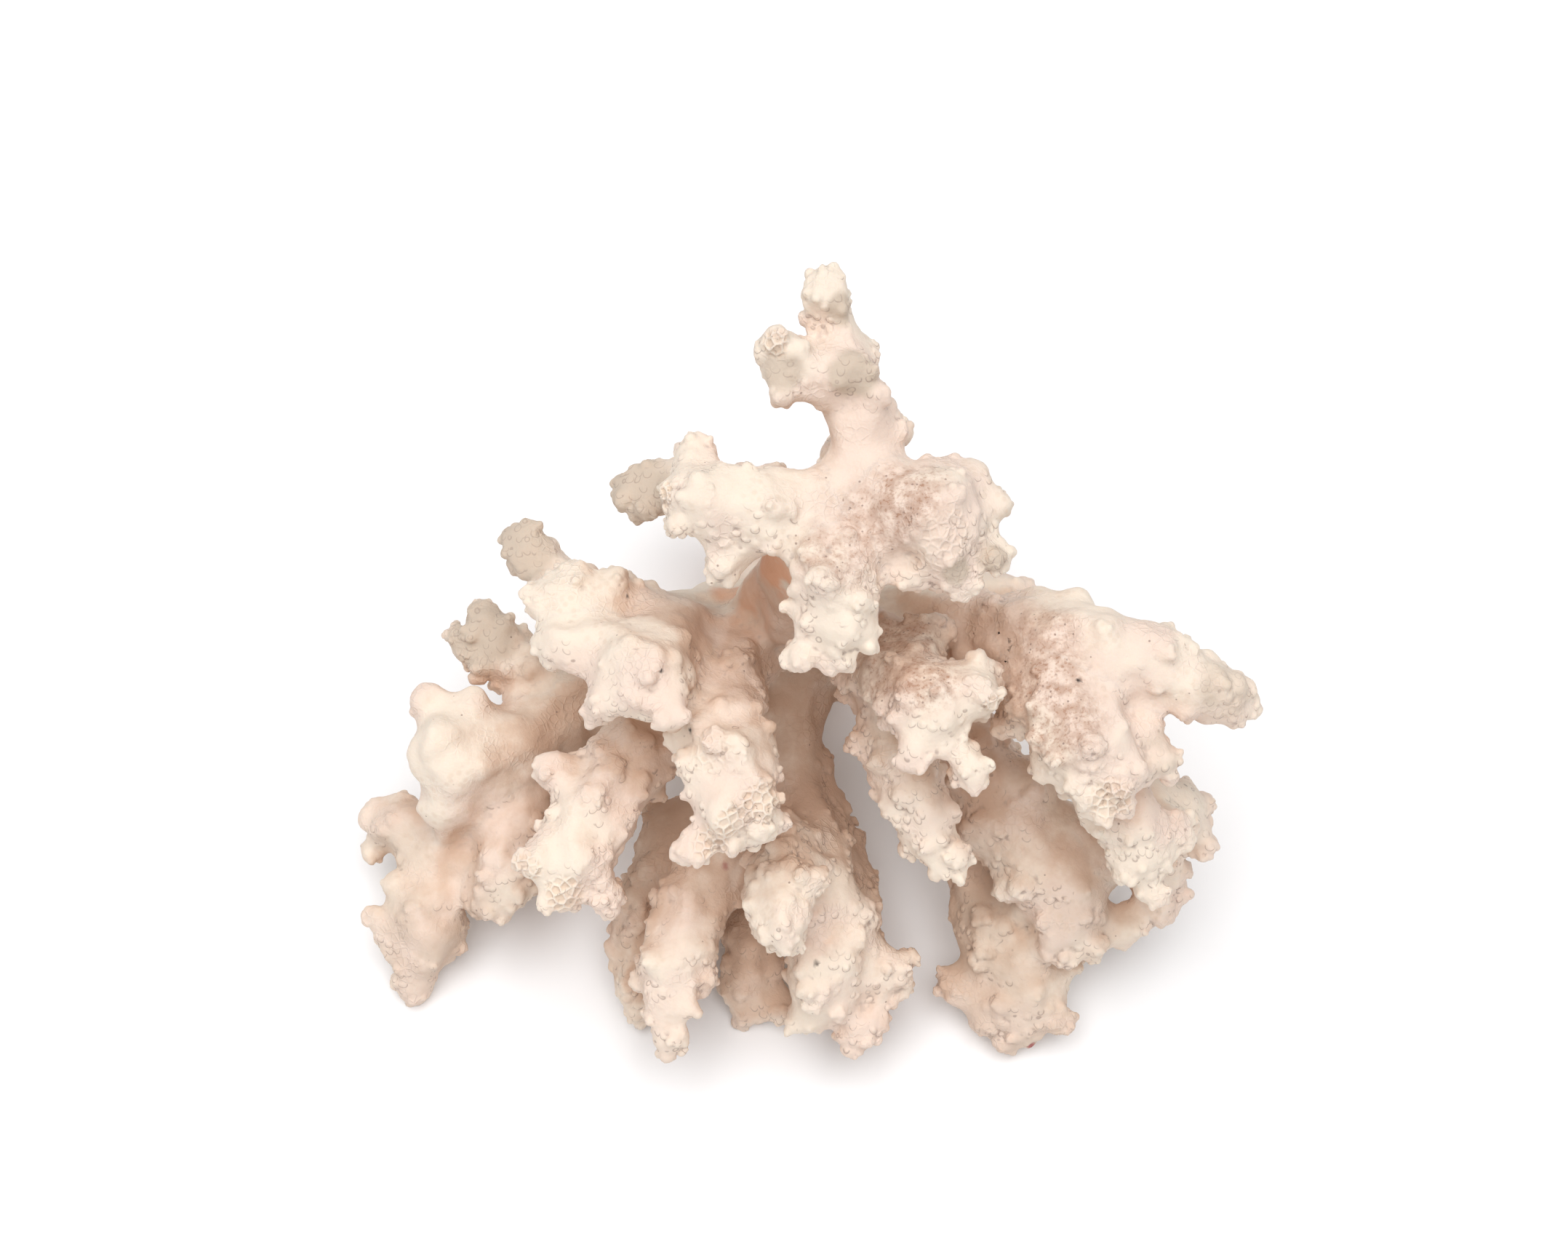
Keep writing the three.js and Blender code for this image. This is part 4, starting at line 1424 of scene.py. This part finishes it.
    @staticmethod
    def eased(share: float) -> float:
        """A share from 0 to 1 with a soft start and end."""
        share = min(max(share, 0.0), 1.0)
        return share * share * (3 - 2 * share)

    def cut_flat(self, work: bmesh.types.BMesh) -> None:
        """Cuts off flat what reaches below the surface that the coral rests on."""
        if min(vertex.co.z for vertex in work.verts) < self.rest:
            everything = [*work.verts, *work.edges, *work.faces]
            bmesh.ops.bisect_plane(work, geom=everything, plane_co=(0, 0, self.rest), plane_no=(0, 0, 1),
                                   clear_inner=True)
            rims = [edge for edge in work.edges if edge.is_boundary]
            cut = bmesh.ops.holes_fill(work, edges=rims)["faces"]
            bmesh.ops.triangulate(work, faces=cut)

    @staticmethod
    def rings(work: bmesh.types.BMesh) -> list[list[bmesh.types.BMVert]]:
        """The open rims of a branch, each as a ring of points in the order of a closing face."""
        following = {}
        for edge in work.edges:
            if edge.is_boundary:
                corner = edge.link_loops[0]
                following.setdefault(corner.link_loop_next.vert, []).append(corner.vert)
        rings = []
        while following:
            path = [next(iter(following))]
            while path[-1] in following:
                choices = following[path[-1]]
                step = choices.pop()
                if not choices:
                    del following[path[-1]]
                if step in path:
                    start = path.index(step)
                    rings.append(path[start:])
                    del path[start + 1:]
                else:
                    path.append(step)
        return rings

    def close(self, work: bmesh.types.BMesh, rim: dict[Any, Vector]) -> None:
        """Closes every open rim of a branch with a wall that turns inwards and stays below the skin.

        Args:
            work: The branch's mesh.
            rim: The skin's normal at each point of the rims.
        """
        inside = work.verts.layers.float["inside"]
        for ring in self.rings(work):
            if len(ring) < self.small_ring:
                self.close_ring(work, ring)
                continue
            inner = [work.verts.new(vertex.co - rim[vertex.co[:]] * self.lip * MM) for vertex in ring]
            for index, vertex in enumerate(inner):
                vertex[inside] = 1.0
                work.faces.new((ring[index - 1], ring[index], vertex, inner[index - 1]))
            self.close_ring(work, inner)
        for _ in range(self.cap_halvings):
            long = [edge for edge in work.edges if edge.calc_length() > self.cap_edge * MM
                    and all(vertex[inside] > 0.5 for vertex in edge.verts)]
            if not long:
                break
            bmesh.ops.subdivide_edges(work, edges=long, cuts=1)
            bmesh.ops.triangulate(work, faces=[face for face in work.faces if len(face.verts) > 3])
        for vertex in work.verts:
            if vertex[inside] > 0.5:
                place, normal, _, _ = self.tree.find_nearest(vertex.co)
                if (place - vertex.co).dot(normal) < self.lip * MM:
                    vertex.co = place - normal * self.lip * MM

    @staticmethod
    def close_ring(work: bmesh.types.BMesh, ring: list[bmesh.types.BMVert]) -> None:
        """Fills one ring of points with triangles, always across its shortest open side first.

        Args:
            work: The branch's mesh.
            ring: The ring's points in order.
        """
        count = len(ring)
        before = {index: (index - 1) % count for index in range(count)}
        after = {index: (index + 1) % count for index in range(count)}

        def span(index: int) -> float:
            """How long a side cutting off one point would be."""
            one, two = ring[before[index]], ring[after[index]]
            taken = work.edges.get((one, two)) is not None
            return (one.co - two.co).length + taken

        spans = {index: span(index) for index in range(count)}
        queue = [(length, index) for index, length in spans.items()]
        heapq.heapify(queue)
        while len(spans) > 2:
            length, index = heapq.heappop(queue)
            if spans.get(index) != length:
                continue
            one, two = before[index], after[index]
            corners = (ring[one], ring[index], ring[two])
            if work.faces.get(corners) is None:
                work.faces.new(corners)
            after[one], before[two] = two, one
            del spans[index]
            for end in (one, two):
                if len(spans) > 2:
                    spans[end] = span(end)
                    heapq.heappush(queue, (spans[end], end))


def main() -> None:
    """Builds the studio and the coral."""
    logging.basicConfig(level=logging.INFO, format="%(name)s %(relativeCreated)d: %(message)s")
    studio = Studio()
    studio.build()
    chalk = ChalkFinish().material("bleached_chalk")
    Skeleton(BRANCHES, studio).pieces(chalk)


if __name__ == "__main__":
    main()
